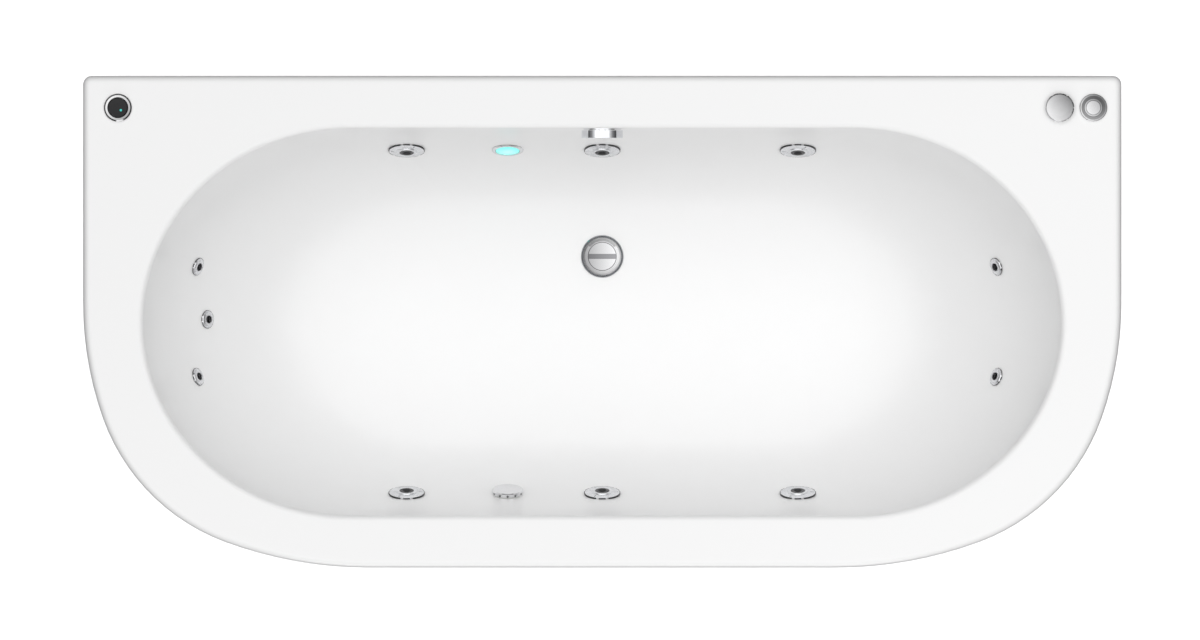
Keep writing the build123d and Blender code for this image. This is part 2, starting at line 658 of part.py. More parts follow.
def make_jet_nuts():
    pieces = [seat * nut(JET_TUBE_RADIUS + GAP, JET_NUT_RADIUS) for seat in SIDE_JETS.values()]
    pieces += [seat * nut(MICRO_TUBE_RADIUS + GAP, MICRO_NUT_RADIUS, 6) for seat in MICRO_JETS.values()]
    pieces.append(LIGHT_SEAT * nut(LIGHT_TUBE_RADIUS + GAP, LIGHT_NUT_RADIUS))
    pieces.append(SUCTION_SEAT * nut(JET_TUBE_RADIUS + GAP, JET_NUT_RADIUS))
    return Compound(children=pieces)


def make_jet_seals():
    pieces = [seat * seal(JET_TUBE_RADIUS + GAP, JET_NUT_RADIUS + 1) for seat in SIDE_JETS.values()]
    pieces += [seat * seal(MICRO_TUBE_RADIUS + GAP, MICRO_NUT_RADIUS) for seat in MICRO_JETS.values()]
    pieces.append(LIGHT_SEAT * seal(LIGHT_TUBE_RADIUS + GAP, LIGHT_NUT_RADIUS))
    pieces.append(SUCTION_SEAT * seal(JET_TUBE_RADIUS + GAP, JET_NUT_RADIUS + 1))
    return Compound(children=pieces)


RING_START_X = -RING_GAP
RING_STOP_X = RING_GAP - SIDE_JET_SPACING


def ring_points(start_x, stop_x):
    """An open loop round the basin that starts and stops on the front side."""
    right = [(RING_END, -RING_SIDE), (RING_END, RING_SIDE)]
    left = [(-RING_END, RING_SIDE), (-RING_END, -RING_SIDE)]
    points = [(start_x, -RING_SIDE), *right, *left, (stop_x, -RING_SIDE)]
    return [(x, y, RING_HEIGHT) for x, y in points]


def make_water_manifold():
    """The water pipe round the basin, with a branch up to every jet and one down to the pump."""
    ring = solid_pipe(ring_points(RING_START_X, RING_STOP_X), RING_CORNER, RING_RADIUS)
    capped = ring_points(RING_START_X + PIPE_WALL, RING_STOP_X - PIPE_WALL)
    bore = solid_pipe(capped, RING_CORNER, RING_RADIUS - PIPE_WALL)
    ports = [(behind(seat, PORT_DISTANCE), WATER_PORT_RADIUS) for seat in SIDE_JETS.values()]
    ports += [(behind(seat, MICRO_PORT_DISTANCE), MICRO_PORT_RADIUS) for seat in MICRO_JETS.values()]
    for point, radius in ports:
        ring += Pos(point.X, point.Y) * rod(radius, RING_HEIGHT, PORT_END_HEIGHT)
    branch = Pos(PUMP_X - PUMP_BRANCH, PUMP_OUTLET_Y)
    ring += branch * rod(WATER_PORT_RADIUS, PUMP_OUTLET_TOP, RING_HEIGHT)
    ring -= bore
    for point, radius in ports:
        ring -= Pos(point.X, point.Y) * rod(radius - PIPE_WALL, RING_HEIGHT, PORT_END_HEIGHT + CUT)
    return ring - branch * rod(WATER_PORT_RADIUS - PIPE_WALL, PUMP_OUTLET_TOP - CUT, RING_HEIGHT)


def make_air_manifold():
    """The thin air pipe round the left end, over every side jet."""
    stop = SIDE_JET_SPACING + AIR_TAIL
    points = [
        (AIR_START_X, RING_SIDE, AIR_HEIGHT), (-AIR_END, RING_SIDE, AIR_HEIGHT),
        (-AIR_END, -RING_SIDE, AIR_HEIGHT), (stop, -RING_SIDE, AIR_HEIGHT)
    ]
    line = solid_pipe(points, RING_CORNER, AIR_RADIUS)
    points[-1] = (stop - AIR_PIPE_WALL, -RING_SIDE, AIR_HEIGHT)
    line -= solid_pipe(points, RING_CORNER, AIR_RADIUS - AIR_PIPE_WALL)
    bore = AIR_PORT_RADIUS - AIR_PORT_WALL
    low = AIR_HEIGHT - AIR_RADIUS
    for seat in SIDE_JETS.values():
        point = behind(seat, PORT_DISTANCE)
        line += Pos(point.X, point.Y) * tube(AIR_PORT_RADIUS, bore, low, AIR_HEIGHT)
        line -= Pos(point.X, point.Y) * rod(bore, low - CUT, AIR_HEIGHT)
        through = Rot(0, 90, 0) * Cylinder(AIR_RADIUS - AIR_PIPE_WALL, 5 * AIR_RADIUS)
        line -= Pos(point.X, point.Y, AIR_HEIGHT) * through
    return line


def make_air_supply_pipe():
    """The pipe from the air control under the rim down to the air line."""
    points = [
        (AIR_KNOB_X, DECK_Y, AIR_VALVE_BOTTOM), (AIR_KNOB_X, DECK_Y, AIR_HEIGHT + 75),
        (AIR_START_X + 160, RING_SIDE, AIR_HEIGHT), (AIR_START_X, RING_SIDE, AIR_HEIGHT)
    ]
    return pipe(points, [50, 90], AIR_RADIUS, AIR_RADIUS - AIR_PIPE_WALL)


def make_suction_body():
    """The pump's intake behind the front wall, with its outlet pointing down."""
    centre = behind(SUCTION_SEAT, SUCTION_PORT_DISTANCE)
    port = Pos(centre.X, centre.Y)
    body = rod(JET_TUBE_RADIUS, -SUCTION_TUBE_LENGTH, 0)
    body += rod(SUCTION_FLANGE_RADIUS, 0, JET_FLANGE_THICKNESS)
    body = SUCTION_SEAT * body + port * rod(SUCTION_PORT_RADIUS, SUCTION_JOINT_HEIGHT, centre.Z)
    body -= SUCTION_SEAT * rod(SUCTION_BORE_RADIUS, 6 - SUCTION_TUBE_LENGTH, JET_FLANGE_THICKNESS + CUT)
    return body - port * rod(SUCTION_PORT_RADIUS - PIPE_WALL, SUCTION_JOINT_HEIGHT - CUT, centre.Z)


def make_suction_cover():
    """The domed chrome cap over the intake, open round its edge."""
    edge = SUCTION_COVER_RADIUS
    inner = edge - SUCTION_SKIRT
    foot = JET_FLANGE_THICKNESS + GAP
    top = SUCTION_COVER_RISE
    cap = turned(
        (0, top - 3.6), (inner, top - 3.6), (inner, foot), (edge, foot),
        (edge, top - 2.8), (edge - 1.5, top - 1.4), (0, top)
    )
    for place in PolarLocations((edge + inner) / 2, 12):
        cap -= place * (Pos(0, 0, foot + 2.1) * Box(2 * SUCTION_SKIRT, 3.4, 3.0))
    return SUCTION_SEAT * cap


def make_suction_pipe():
    """The intake pipe along the front and round to the pump."""
    start = behind(SUCTION_SEAT, SUCTION_PORT_DISTANCE)
    points = [
        (start.X, start.Y, SUCTION_JOINT_HEIGHT), (start.X, start.Y, SUCTION_HEIGHT),
        (SUCTION_TURN_X, start.Y, SUCTION_HEIGHT), (PUMP_X, SUCTION_TURN_Y, PUMP_AXIS_HEIGHT),
        (PUMP_X, PUMP_INLET_Y, PUMP_AXIS_HEIGHT)
    ]
    return pipe(points, [50, 90, 45], SUCTION_PORT_RADIUS, SUCTION_PORT_RADIUS - PIPE_WALL)


def along_y(shape, y):
    """A piece made along Z laid along Y about the pump's axis, its low end at y."""
    return Pos(PUMP_X, y, PUMP_AXIS_HEIGHT) * (Rot(-90, 0, 0) * shape)


def make_pump_wet_end():
    """The pump's volute with its inlet in front and its outlet on top."""
    depth = WET_END_BACK - WET_END_FRONT
    inlet = PUMP_INLET_Y - WET_END_FRONT
    body = rod(VOLUTE_RADIUS, 14, depth - 12) + rod(VOLUTE_RADIUS - 14, 0, depth)
    body += rod(SUCTION_PORT_RADIUS, inlet, 0) + rod(SUCTION_PORT_RADIUS + 8, inlet + 2, inlet + 18)
    for place in PolarLocations(VOLUTE_RADIUS - 5, 6, start_angle=30):
        body += place * rod(6, 8, depth - 8)
    body = along_y(body, WET_END_FRONT)
    branch = Pos(PUMP_X - PUMP_BRANCH, PUMP_OUTLET_Y)
    body += branch * rod(WATER_PORT_RADIUS + PIPE_WALL, PUMP_AXIS_HEIGHT, PUMP_OUTLET_TOP)
    body -= along_y(rod(SUCTION_PORT_RADIUS - PIPE_WALL, inlet - CUT, 30), WET_END_FRONT)
    return body - branch * rod(WATER_PORT_RADIUS - PIPE_WALL, PUMP_AXIS_HEIGHT, PUMP_OUTLET_TOP + CUT)


def make_pump_motor():
    """The finned motor with its fan cowl and its terminal box at the side."""
    length = MOTOR_BACK - WET_END_BACK
    end = COWL_BACK - WET_END_BACK
    body = rod(MOTOR_RADIUS - FIN_HEIGHT, 0, length)
    body += rod(MOTOR_RADIUS, 0, 10) + rod(MOTOR_RADIUS, length - 8, length)
    fin = block(0, MOTOR_RADIUS, -1.2, 1.2, 5, length - 4)
    for place in PolarLocations(0.001, FIN_COUNT):
        body += place * fin
    cowl = tube(MOTOR_RADIUS + 2, MOTOR_RADIUS - 1, length, end) + rod(MOTOR_RADIUS + 2, end - 4, end)
    for radius, count in ((20.0, 8), (36.0, 14)):
        for place in PolarLocations(radius, count):
            cowl -= place * (Pos(0, 0, end - 2) * Cylinder(4.5, 10))
    body = along_y(body + cowl + rod(20, length - 1, end - 4), WET_END_BACK)
    box_x = PUMP_X - MOTOR_RADIUS
    box = block(box_x - 34, box_x + 14, -20, 60, PUMP_AXIS_HEIGHT - 28, PUMP_AXIS_HEIGHT + 28)
    box = fillet(box.edges().filter_by(Axis.X), 6)
    entry = Pos(box_x - 10, -20, PUMP_AXIS_HEIGHT) * Rot(90, 0, 0)
    body = body + box + entry * tube(GLAND_RADIUS, GLAND_BORE, 0, 14)
    return body - entry * rod(GLAND_BORE, -10, 14 + CUT)


def make_pump_base():
    """The moulded cradle under the motor."""
    top = PUMP_PAD_HEIGHT + PUMP_BASE_THICKNESS
    left = PUMP_X - PUMP_BASE_HALF_X
    base = block(left, left + 2 * PUMP_BASE_HALF_X, -50, 110, PUMP_PAD_HEIGHT, top)
    base = fillet(base.edges().filter_by(Axis.Z), PUMP_PAD_RADIUS)
    for y in (-40, 20, 80):
        base += block(PUMP_X - 42, PUMP_X + 42, y - 8, y + 8, top, PUMP_AXIS_HEIGHT - 26)
    return base - along_y(rod(MOTOR_RADIUS + GAP, -10, 300), WET_END_BACK)


def make_pump_pads():
    """Four rubber blocks between the cradle and the floor."""
    pads = []
    for side in (-1, 1):
        for y in (-35.0, 95.0):
            x = PUMP_X + side * (PUMP_BASE_HALF_X - PUMP_PAD_RADIUS - 2)
            pads.append(Pos(x, y) * rod(PUMP_PAD_RADIUS, 0, PUMP_PAD_HEIGHT))
    return Compound(children=pads)


def make_light_bezel():
    inner = LIGHT_TUBE_RADIUS + GAP
    edge = LIGHT_RADIUS
    bezel = turned((inner, 0), (edge, 0), (edge, 1.4), (edge - 1.4, 2.8), (edge - 3.6, 3.4), (inner, 2.9))
    return LIGHT_SEAT * bezel


def make_light_lens():
    edge = LENS_RADIUS
    top = LENS_RISE
    lens = turned((0, 0.5), (edge, 0.5), (edge, top - 2.2), (14.0, top - 0.9), (7.0, top - 0.2), (0, top))
    return LIGHT_SEAT * lens


def make_light_housing():
    """The sealed lamp housing behind the wall, with its cable gland."""
    end = -LIGHT_TUBE_LENGTH
    gland = tube(CABLE_GLAND_RADIUS, CABLE_GLAND_BORE, end - CABLE_GLAND_LENGTH, end)
    gland += rod(CABLE_GLAND_RADIUS, end - 4, end + CUT)
    return LIGHT_SEAT * (rod(LIGHT_TUBE_RADIUS, end, 0.2) + gland)


def deck(x, shape):
    """A piece made about Z with its zero on the rim, put at a control's place."""
    return Pos(x, DECK_Y, RIM_HEIGHT) * shape


def make_air_valve_body():
    """The air control's body through the rim, with intake slots under its flange."""
    under = AIR_VALVE_BOTTOM - RIM_HEIGHT
    body = rod(AIR_VALVE_FLANGE_RADIUS, 0, 2) + rod(AIR_VALVE_TUBE_RADIUS, -70, 0)
    body += rod(AIR_RADIUS + 3, -84, -70) + rod(AIR_RADIUS, under, -84)
    body -= rod(AIR_VALVE_BORE_RADIUS, -60, -SPINDLE_LENGTH)
    body -= rod(SPINDLE_RADIUS + RUNNING, -SPINDLE_LENGTH - CUT, 3)
    body -= rod(AIR_RADIUS - AIR_PIPE_WALL, under - CUT, -59)
    for place in PolarLocations(AIR_VALVE_TUBE_RADIUS - 1, 6):
        body -= place * (Pos(0, 0, -34) * Box(9, 5, 30))
    return deck(AIR_KNOB_X, body)


def make_air_knob():
    """The air control's cap: a shallow dome with six small grip notches."""
    edge = AIR_KNOB_RADIUS
    top = AIR_KNOB_RISE
    inner = edge - AIR_KNOB_SKIRT
    cap = turned(
        (0, 2.3), (inner, 2.3), (inner, 0.6), (edge, 0.6), (edge, top - 4.1), (edge - 1.65, top - 2),
        (14.0, top - 0.6), (0, top)
    )
    for place in PolarLocations(edge + 0.4, 6):
        cap -= place * Cylinder(1.6, 40)
    return deck(AIR_KNOB_X, cap + rod(SPINDLE_RADIUS, -SPINDLE_LENGTH, 3))


def make_air_switch_body():
    """The dished chrome ring and bellows tube of the pump's air button."""
    bore = AIR_BUTTON_RADIUS + BUTTON_PLAY
    shank = AIR_SWITCH_TUBE_RADIUS
    edge = AIR_BUTTON_RING_RADIUS
    body = turned(
        (bore, 1.6), (bore + 2.1, 1.6), (edge - 2.9, 4.0), (edge - 1.1, 3.6), (edge, 2.2), (edge, 0),
        (shank, 0), (shank, -50), (5, -50), (3, -64), (1.5, -64), (1.5, -44), (bore, -44)
    )
    return deck(AIR_BUTTON_X, body)


def make_air_button():
    edge = AIR_BUTTON_RADIUS
    top = AIR_BUTTON_RISE
    crown = (edge - 0.8, top - 0.9)
    button = turned((0, -30), (edge, -30), (edge, top - 2.1), crown, (edge / 2, top - 0.2), (0, top))
    return deck(AIR_BUTTON_X, button)


def make_light_switch_body():
    """The chrome ring and tube of the light button."""
    bore = LIGHT_BUTTON_RADIUS + BUTTON_PLAY
    shank = LIGHT_SWITCH_TUBE_RADIUS
    edge = LIGHT_SWITCH_RADIUS
    body = turned(
        (bore, 2.4), (bore + 1.1, 3.8), (edge - 2.4, 4.2), (edge, 2.4), (edge, 0), (shank, 0),
        (shank, -40), (6, -40), (6, -52), (3, -52), (3, -34), (bore, -34)
    )
    return deck(LIGHT_SWITCH_X, body)


def make_light_button():
    edge = LIGHT_BUTTON_RADIUS
    top = LIGHT_BUTTON_RISE
    crown = (edge - 1.2, top - 1.7)
    button = turned((0, -22), (edge, -22), (edge, top - 3.3), crown, (edge / 2, top - 0.4), (0, top))
    return deck(LIGHT_SWITCH_X, button)


def make_deck_nuts():
    pieces = []
    for x, radius in DECK_FITTINGS.values():
        ring = tube(radius + DECK_NUT_WIDTH, radius + GAP, -WALL - DECK_NUT_THICKNESS, -WALL)
        for place in PolarLocations(radius + DECK_NUT_WIDTH, 6):
            ring -= place * Cylinder(2.6, 80)
        pieces.append(deck(x, ring))
    return Compound(children=pieces)


def waste(shape):
    """A piece made about Z with its zero on the basin floor, put at the waste."""
    return Pos(0, WASTE_Y, FLOOR_HEIGHT) * shape


def make_waste_flange():
    """The chrome outlet ring in the basin floor, with the plug's guide on three arms."""
    neck = WASTE_NECK_RADIUS
    bore = neck - WASTE_NECK_WALL
    edge = WASTE_RADIUS
    flange = turned(
        (neck - 1, 0.6), (neck + 1, 1.2), (edge - 2.8, 1.6), (edge - 1.6, 2.6), (edge, 1.6), (edge, 0),
        (neck, 0), (neck, -WASTE_NECK_LENGTH), (bore, -WASTE_NECK_LENGTH), (bore, -2)
    )
    flange += tube(PLUG_STEM_RADIUS + 3, PLUG_STEM_RADIUS + GAP, 2 - WASTE_NECK_LENGTH, -14)
    for place in PolarLocations(0.001, 3):
        flange += place * block(PLUG_STEM_RADIUS + 2, neck - 1, -1.5, 1.5, 2 - WASTE_NECK_LENGTH, -16)
    return waste(flange)


def make_waste_plug():
    """The pop-up plug: a rounded shoulder round a flat cap, on a stem."""
    edge = PLUG_RADIUS
    top = PLUG_RISE
    plug = turned(
        (0, 2.6), (edge - 1.3, 2.6), (edge, top - 6.2), (edge - 0.5, top - 4), (edge - 2.9, top - 1.8),
        (edge - 6.5, top - 0.6), (edge - 7.7, top - 0.4), (edge - 8, top - 0.8), (edge - 8.3, top - 0.3),
        (0, top)
    )
    return waste(plug + rod(PLUG_STEM_RADIUS, -PLUG_STEM_LENGTH, 4))


def make_waste_body():
    """The outlet body under the floor, with the overflow's port at the back."""
    bore = WASTE_NECK_RADIUS + GAP
    inside = OVERFLOW_PIPE_RADIUS - OVERFLOW_PIPE_WALL
    body = tube(WASTE_RADIUS - 1, bore, -WALL - 4, -WALL) + tube(bore + 4.7, bore, -WASTE_BODY_LENGTH, -WALL)
    body += overflow_port(tube(OVERFLOW_PIPE_RADIUS, inside, bore + 0.7, WASTE_PORT_REACH))
    return waste(body - overflow_port(rod(inside, 15, WASTE_PORT_REACH + CUT)))


def overflow_port(shape):
    """A piece made along Z laid along Y at the height of the waste body's port."""
    return Pos(0, 0, -WASTE_PORT_DROP) * (Rot(-90, 0, 0) * shape)


def make_waste_trap():
    """The shallow water trap, with a plain pipe end for the drain at the back."""
    top = FLOOR_HEIGHT - WASTE_BODY_LENGTH
    cup = tube(30, 25, top - 8, top) + rod(TRAP_CUP_RADIUS, TRAP_BOTTOM, top - 8)
    cup = fillet(cup.edges().group_by(Axis.Z)[0], 10)
    cup -= rod(TRAP_CUP_RADIUS - 4, TRAP_BOTTOM + 4, top - 12)
    cup -= rod(25, top - 13, top + CUT)
    cup += tube(25, 22, TRAP_BOTTOM + 16, top - 8)
    end = TRAP_OUTLET_START + TRAP_OUTLET_LENGTH
    spigot = rod(WASTE_PIPE_RADIUS + 4, 30, TRAP_OUTLET_START) + rod(WASTE_PIPE_RADIUS, 30, end)
    spigot = Rot(-90, 0, 0) * spigot
    bore = Rot(-90, 0, 0) * rod(WASTE_PIPE_RADIUS - PIPE_WALL, 27, end + 1)
    cup = cup + Pos(0, 0, TRAP_OUTLET_HEIGHT) * spigot - Pos(0, 0, TRAP_OUTLET_HEIGHT) * bore
    return Pos(0, WASTE_Y) * cup


def make_overflow_flange():
    """The chrome wall ring of the overflow, with the hub that its knob turns on."""
    hub = OVERFLOW_HUB_RADIUS
    flange = tube(OVERFLOW_RING_RADIUS, OVERFLOW_RING_RADIUS - 9, 0, 2) + rod(hub + 3, 0, 3)
    for place in PolarLocations(0.001, 4, start_angle=45):
        flange += place * block(hub + 1, OVERFLOW_RING_RADIUS - 7, -2, 2, 0, 2)
    return OVERFLOW_SEAT * (flange + rod(hub, 0, OVERFLOW_PROUD - 5))


def make_overflow_knob():
    """The turning overflow cap, with a finger notch in its rim that stands at the top."""
    bore = OVERFLOW_HUB_RADIUS + RUNNING
    edge = OVERFLOW_RADIUS
    inner = edge - OVERFLOW_SKIRT
    face = OVERFLOW_PROUD
    knob = turned(
        (bore, 4), (bore + 3.95, 4), (bore + 3.95, face - 2.6), (inner, face - 2.6), (inner, 3), (edge, 3),
        (edge, face - 0.8), (edge - 1, face), (0, face), (0, face - 4), (bore, face - 4)
    )
    arch = Pos(0, edge - 2, face - 3) * (Rot(90, 0, 0) * Cylinder(NOTCH_WIDTH / 2, 12))
    mouth = Pos(0, edge - 2, face + 1) * Box(NOTCH_WIDTH, 12, 8)
    return OVERFLOW_SEAT * (knob - arch - mouth)


def make_overflow_body():
    """The overflow's elbow behind the wall, with its spigot pointing down."""
    bore = OVERFLOW_BORE_RADIUS
    end = OVERFLOW_PORT_DISTANCE + 20
    body = tube(OVERFLOW_TUBE_RADIUS, bore, -SEAT - 2, 0) + rod(OVERFLOW_TUBE_RADIUS + 4, -end, -SEAT - 2)
    body -= rod(bore, 4 - end, CUT)
    centre = OVERFLOW_SEAT.origin.Z
    port = Pos(0, OVERFLOW_PORT_Y)
    body = OVERFLOW_SEAT * body + port * rod(OVERFLOW_PIPE_RADIUS, OVERFLOW_JOINT_HEIGHT, centre - 18)
    inside = OVERFLOW_PIPE_RADIUS - OVERFLOW_PIPE_WALL
    return body - port * rod(inside, OVERFLOW_JOINT_HEIGHT - CUT, centre)


def make_overflow_pipe():
    """The overflow's pipe down the back and in to the waste, with the plug's cable inside."""
    inlet = FLOOR_HEIGHT - WASTE_PORT_DROP
    points = [
        (0, OVERFLOW_PORT_Y, OVERFLOW_JOINT_HEIGHT), (0, OVERFLOW_PORT_Y, OVERFLOW_JOINT_HEIGHT - 55),
        (-78, 366, 320), (-78, 366, 150), (-50, 290, inlet), (0, 215, inlet),
        (0, WASTE_Y + WASTE_PORT_REACH, inlet)
    ]
    bends = [50, 60, 45, 45, 45]
    return pipe(points, bends, OVERFLOW_PIPE_RADIUS, OVERFLOW_PIPE_RADIUS - OVERFLOW_PIPE_WALL)


def make_control_box():
    """The sealed control box under the board, with three cable glands."""
    left = CONTROL_BOX_X
    right = left + CONTROL_BOX_LENGTH
    front = CONTROL_BOX_Y - CONTROL_BOX_WIDTH / 2
    back = CONTROL_BOX_Y + CONTROL_BOX_WIDTH / 2
    top = BOARD_BOTTOM - CONTROL_BOX_FOOT
    box = block(left, right, front, back, top - CONTROL_BOX_HEIGHT, top)
    box = fillet(box.edges().filter_by(Axis.Z), 10)
    box = chamfer(box.edges().group_by(Axis.Z)[0], 2)
    box += block(left - 12, right + 12, CONTROL_BOX_Y - 30, CONTROL_BOX_Y + 30, top, BOARD_BOTTOM)
    for x in (-GLAND_SPACING, 0, GLAND_SPACING):
        centre = Pos(left + CONTROL_BOX_LENGTH / 2 + x, back, top - 22) * Rot(-90, 0, 0)
        box = box + centre * rod(GLAND_RADIUS, -2, 14) - centre * rod(GLAND_BORE, -12, 14 + CUT)
    return box


def make_wall_clips():
    """Two folded steel clips that the back lip hooks over, with screw holes for the wall."""
    clips = []
    for side in (-1, 1):
        x = side * CLIP_X
        half = CLIP_WIDTH / 2
        lip = BACK - WALL
        low = RIM_HEIGHT - LIP_DEPTH - CLIP_HEIGHT
        top = RIM_HEIGHT - LIP_DEPTH - GAP
        hook = lip - GAP - CLIP_SHEET
        clip = block(x - half, x + half, BACK - CLIP_SHEET, BACK, low, top)
        clip += block(x - half, x + half, hook, BACK, top - CLIP_SHEET, top)
        clip += block(x - half, x + half, hook, hook + CLIP_SHEET, top - CLIP_SHEET, DECK_UNDERSIDE - 8)
        for dx in (-CLIP_HOLE_SPACING / 2, CLIP_HOLE_SPACING / 2):
            clip -= Pos(x + dx, BACK, low + 20) * (Rot(90, 0, 0) * Cylinder(CLIP_HOLE_RADIUS, 20))
        clips.append(clip)
    return Compound(children=clips)


save("tub_shell", make_tub_shell())
save("front_panel", make_front_panel())
save("baseboard", make_baseboard())
save("cross_rails", make_cross_rails())
save("frame_fasteners", make_frame_fasteners())
for name, (foot_x, foot_y) in FEET.items():
    save(name, make_foot(foot_x, foot_y))
save("side_jet_bodies", Compound(children=[make_side_jet_body(seat) for seat in SIDE_JETS.values()]))
for name, seat in SIDE_JETS.items():
    save(f"side_jet_ring_{name}", make_side_jet_ring(seat))
    save(f"side_jet_eyeball_{name}", make_eyeball(seat))
save("micro_jet_bodies", Compound(children=[make_micro_jet_body(seat) for seat in MICRO_JETS.values()]))
for number, seat in MICRO_JETS.items():
    save(f"micro_jet_face_{number}", make_micro_jet_face(seat))
save("jet_nuts", make_jet_nuts())
save("jet_seals", make_jet_seals())
save("water_manifold", make_water_manifold())
save("air_manifold", make_air_manifold())
save("air_supply_pipe", make_air_supply_pipe())
save("suction_body", make_suction_body())
save("suction_cover", make_suction_cover())
save("suction_pipe", make_suction_pipe())
save("pump_wet_end", make_pump_wet_end())
save("pump_motor", make_pump_motor())
save("pump_base", make_pump_base())
save("pump_pads", make_pump_pads())
save("light_bezel", make_light_bezel())
save("light_lens", make_light_lens())
save("light_housing", make_light_housing())
save("air_valve_body", make_air_valve_body())
save("air_knob", make_air_knob())
save("air_switch_body", make_air_switch_body())
save("air_button", make_air_button())
save("light_switch_body", make_light_switch_body())
save("light_button", make_light_button())
save("deck_nuts", make_deck_nuts())
save("waste_flange", make_waste_flange())
save("waste_plug", make_waste_plug())
save("waste_body", make_waste_body())
save("waste_trap", make_waste_trap())
save("overflow_flange", make_overflow_flange())
save("overflow_knob", make_overflow_knob())
save("overflow_body", make_overflow_body())
save("overflow_pipe", make_overflow_pipe())
save("control_box", make_control_box())
save("wall_clips", make_wall_clips())
print(len(os.listdir("parts")), "files in parts")
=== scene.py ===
# %% [markdown]
# # A jetted bath, dressed for its portrait
# The real object is a D-shaped bath of glossy white acrylic that stands with its straight side
# against a wall. Its shape comes ready made from the CAD model, so this lesson is about what the CAD
# model can't say: how deep the gloss of acrylic is, how chrome shows the room above it, and what
# the back of a bath looks like where nobody polishes it.

# %% Load the CAD model as a fixed frame
import json
import math

import bpy
from mathutils import Matrix, Vector

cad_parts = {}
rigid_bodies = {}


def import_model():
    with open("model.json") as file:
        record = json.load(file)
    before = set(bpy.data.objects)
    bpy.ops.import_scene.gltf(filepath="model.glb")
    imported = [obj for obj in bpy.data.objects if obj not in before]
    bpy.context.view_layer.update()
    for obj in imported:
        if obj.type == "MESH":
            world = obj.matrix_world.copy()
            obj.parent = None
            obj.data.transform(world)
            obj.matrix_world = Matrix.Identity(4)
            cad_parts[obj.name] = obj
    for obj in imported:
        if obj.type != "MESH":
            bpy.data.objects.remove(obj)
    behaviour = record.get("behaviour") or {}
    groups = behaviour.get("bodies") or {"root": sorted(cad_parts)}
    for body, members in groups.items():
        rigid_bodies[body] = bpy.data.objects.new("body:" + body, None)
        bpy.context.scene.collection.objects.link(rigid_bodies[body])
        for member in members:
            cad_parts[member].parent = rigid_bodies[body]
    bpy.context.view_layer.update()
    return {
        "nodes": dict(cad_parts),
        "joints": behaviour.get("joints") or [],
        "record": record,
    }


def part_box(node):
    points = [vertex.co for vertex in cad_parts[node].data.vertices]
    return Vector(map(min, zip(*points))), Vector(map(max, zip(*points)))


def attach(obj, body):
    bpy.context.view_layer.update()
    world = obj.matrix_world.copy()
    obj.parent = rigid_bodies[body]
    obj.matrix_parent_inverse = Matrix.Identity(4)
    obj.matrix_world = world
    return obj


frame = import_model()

nodes = frame["nodes"]

# %% [markdown]
# ## The view
# The photograph looks straight down from so far above that the jets, half a metre below the rim,
# stand where a plan drawing would put them. An orthographic camera could do that too, but it has no
# lens that other views could use. So the camera is a very long lens 45 metres above the rim. Its
# length follows from the width of the view at the height of the rim, which is 1200 image columns of
# 1.637 mm each.

# %% Camera
RIM = 0.570
DISTANCE = 45.0
SENSOR = 36.0
VIEW_WIDTH = 1200 * 0.001637
VIEW_CENTRE = (-0.0037, 0.0029)

lens = bpy.data.cameras.new("overhead_lens")
lens.sensor_width = SENSOR
lens.sensor_fit = "HORIZONTAL"
lens.lens = SENSOR * DISTANCE / VIEW_WIDTH
lens.clip_end = 400.0
camera = bpy.data.objects.new("overhead_camera", lens)
camera.location = (*VIEW_CENTRE, RIM + DISTANCE)
bpy.context.scene.collection.objects.link(camera)
bpy.context.scene.camera = camera
print("lens", round(lens.lens, 1), "mm")

# %% [markdown]
# ## The studio
# White acrylic is hard to photograph, because it has only light and shade to show its shape. Nearly
# all the light here comes from a wide bright patch of the dome straight overhead, which reaches the
# floor of the basin as well as the rim and leaves the steep walls a little greyer. The patch fades
# towards the front right, so that domed chrome turns from white to grey across its face. Lower down
# the dome is dim, which gives polished edges something dark to reflect. A photograph of a studio
# could be wrapped round the scene instead, but a dome of a few grey steps is all numbers, so each
# step can be set against the photograph of the bath.

# %% Pale dome
# The lean only partly turns domed chrome from white to grey; the rest is painted reflection in the
# controls' chrome.
DOME_LEAN = (-0.12, 0.20, 0.0)
DOME_STRENGTH = 1.47
DOME_STEPS = ((0.0, 0.05), (0.20, 0.06), (0.50, 0.18), (0.70, 0.50), (0.83, 1.0), (1.0, 1.0))

world = bpy.data.worlds.new("studio_dome")
world.use_nodes = True
bpy.context.scene.world = world
dome = world.node_tree
dome_coords = dome.nodes.new("ShaderNodeTexCoord")
dome_split = dome.nodes.new("ShaderNodeSeparateXYZ")
dome_ramp = dome.nodes.new("ShaderNodeValToRGB")
dome_lean = dome.nodes.new("ShaderNodeVectorMath")
dome_lean.operation = "DOT_PRODUCT"
dome_lean.inputs[1].default_value = DOME_LEAN
dome_side = dome.nodes.new("ShaderNodeMath")
dome_side.operation = "ADD"
dome_side.inputs[1].default_value = 1.0
dome_power = dome.nodes.new("ShaderNodeMath")
dome_power.operation = "MULTIPLY"
dome_power.inputs[1].default_value = DOME_STRENGTH
dome.links.new(dome_coords.outputs["Generated"], dome_split.inputs[0])
dome.links.new(dome_coords.outputs["Generated"], dome_lean.inputs[0])
dome.links.new(dome_split.outputs["Z"], dome_ramp.inputs["Fac"])
dome.links.new(dome_lean.outputs["Value"], dome_side.inputs[0])
dome.links.new(dome_side.outputs["Value"], dome_power.inputs[0])
dome.links.new(dome_ramp.outputs["Color"], dome.nodes["Background"].inputs["Color"])
dome.links.new(dome_power.outputs["Value"], dome.nodes["Background"].inputs["Strength"])
while len(dome_ramp.color_ramp.elements) < len(DOME_STEPS):
    dome_ramp.color_ramp.elements.new(0.5)
for element, (height, grey) in zip(dome_ramp.color_ramp.elements, DOME_STEPS):
    element.position = height
    element.color = (grey, grey, grey, 1.0)
bpy.context.scene.view_settings.view_transform = "Standard"
print("dome steps", len(DOME_STEPS))


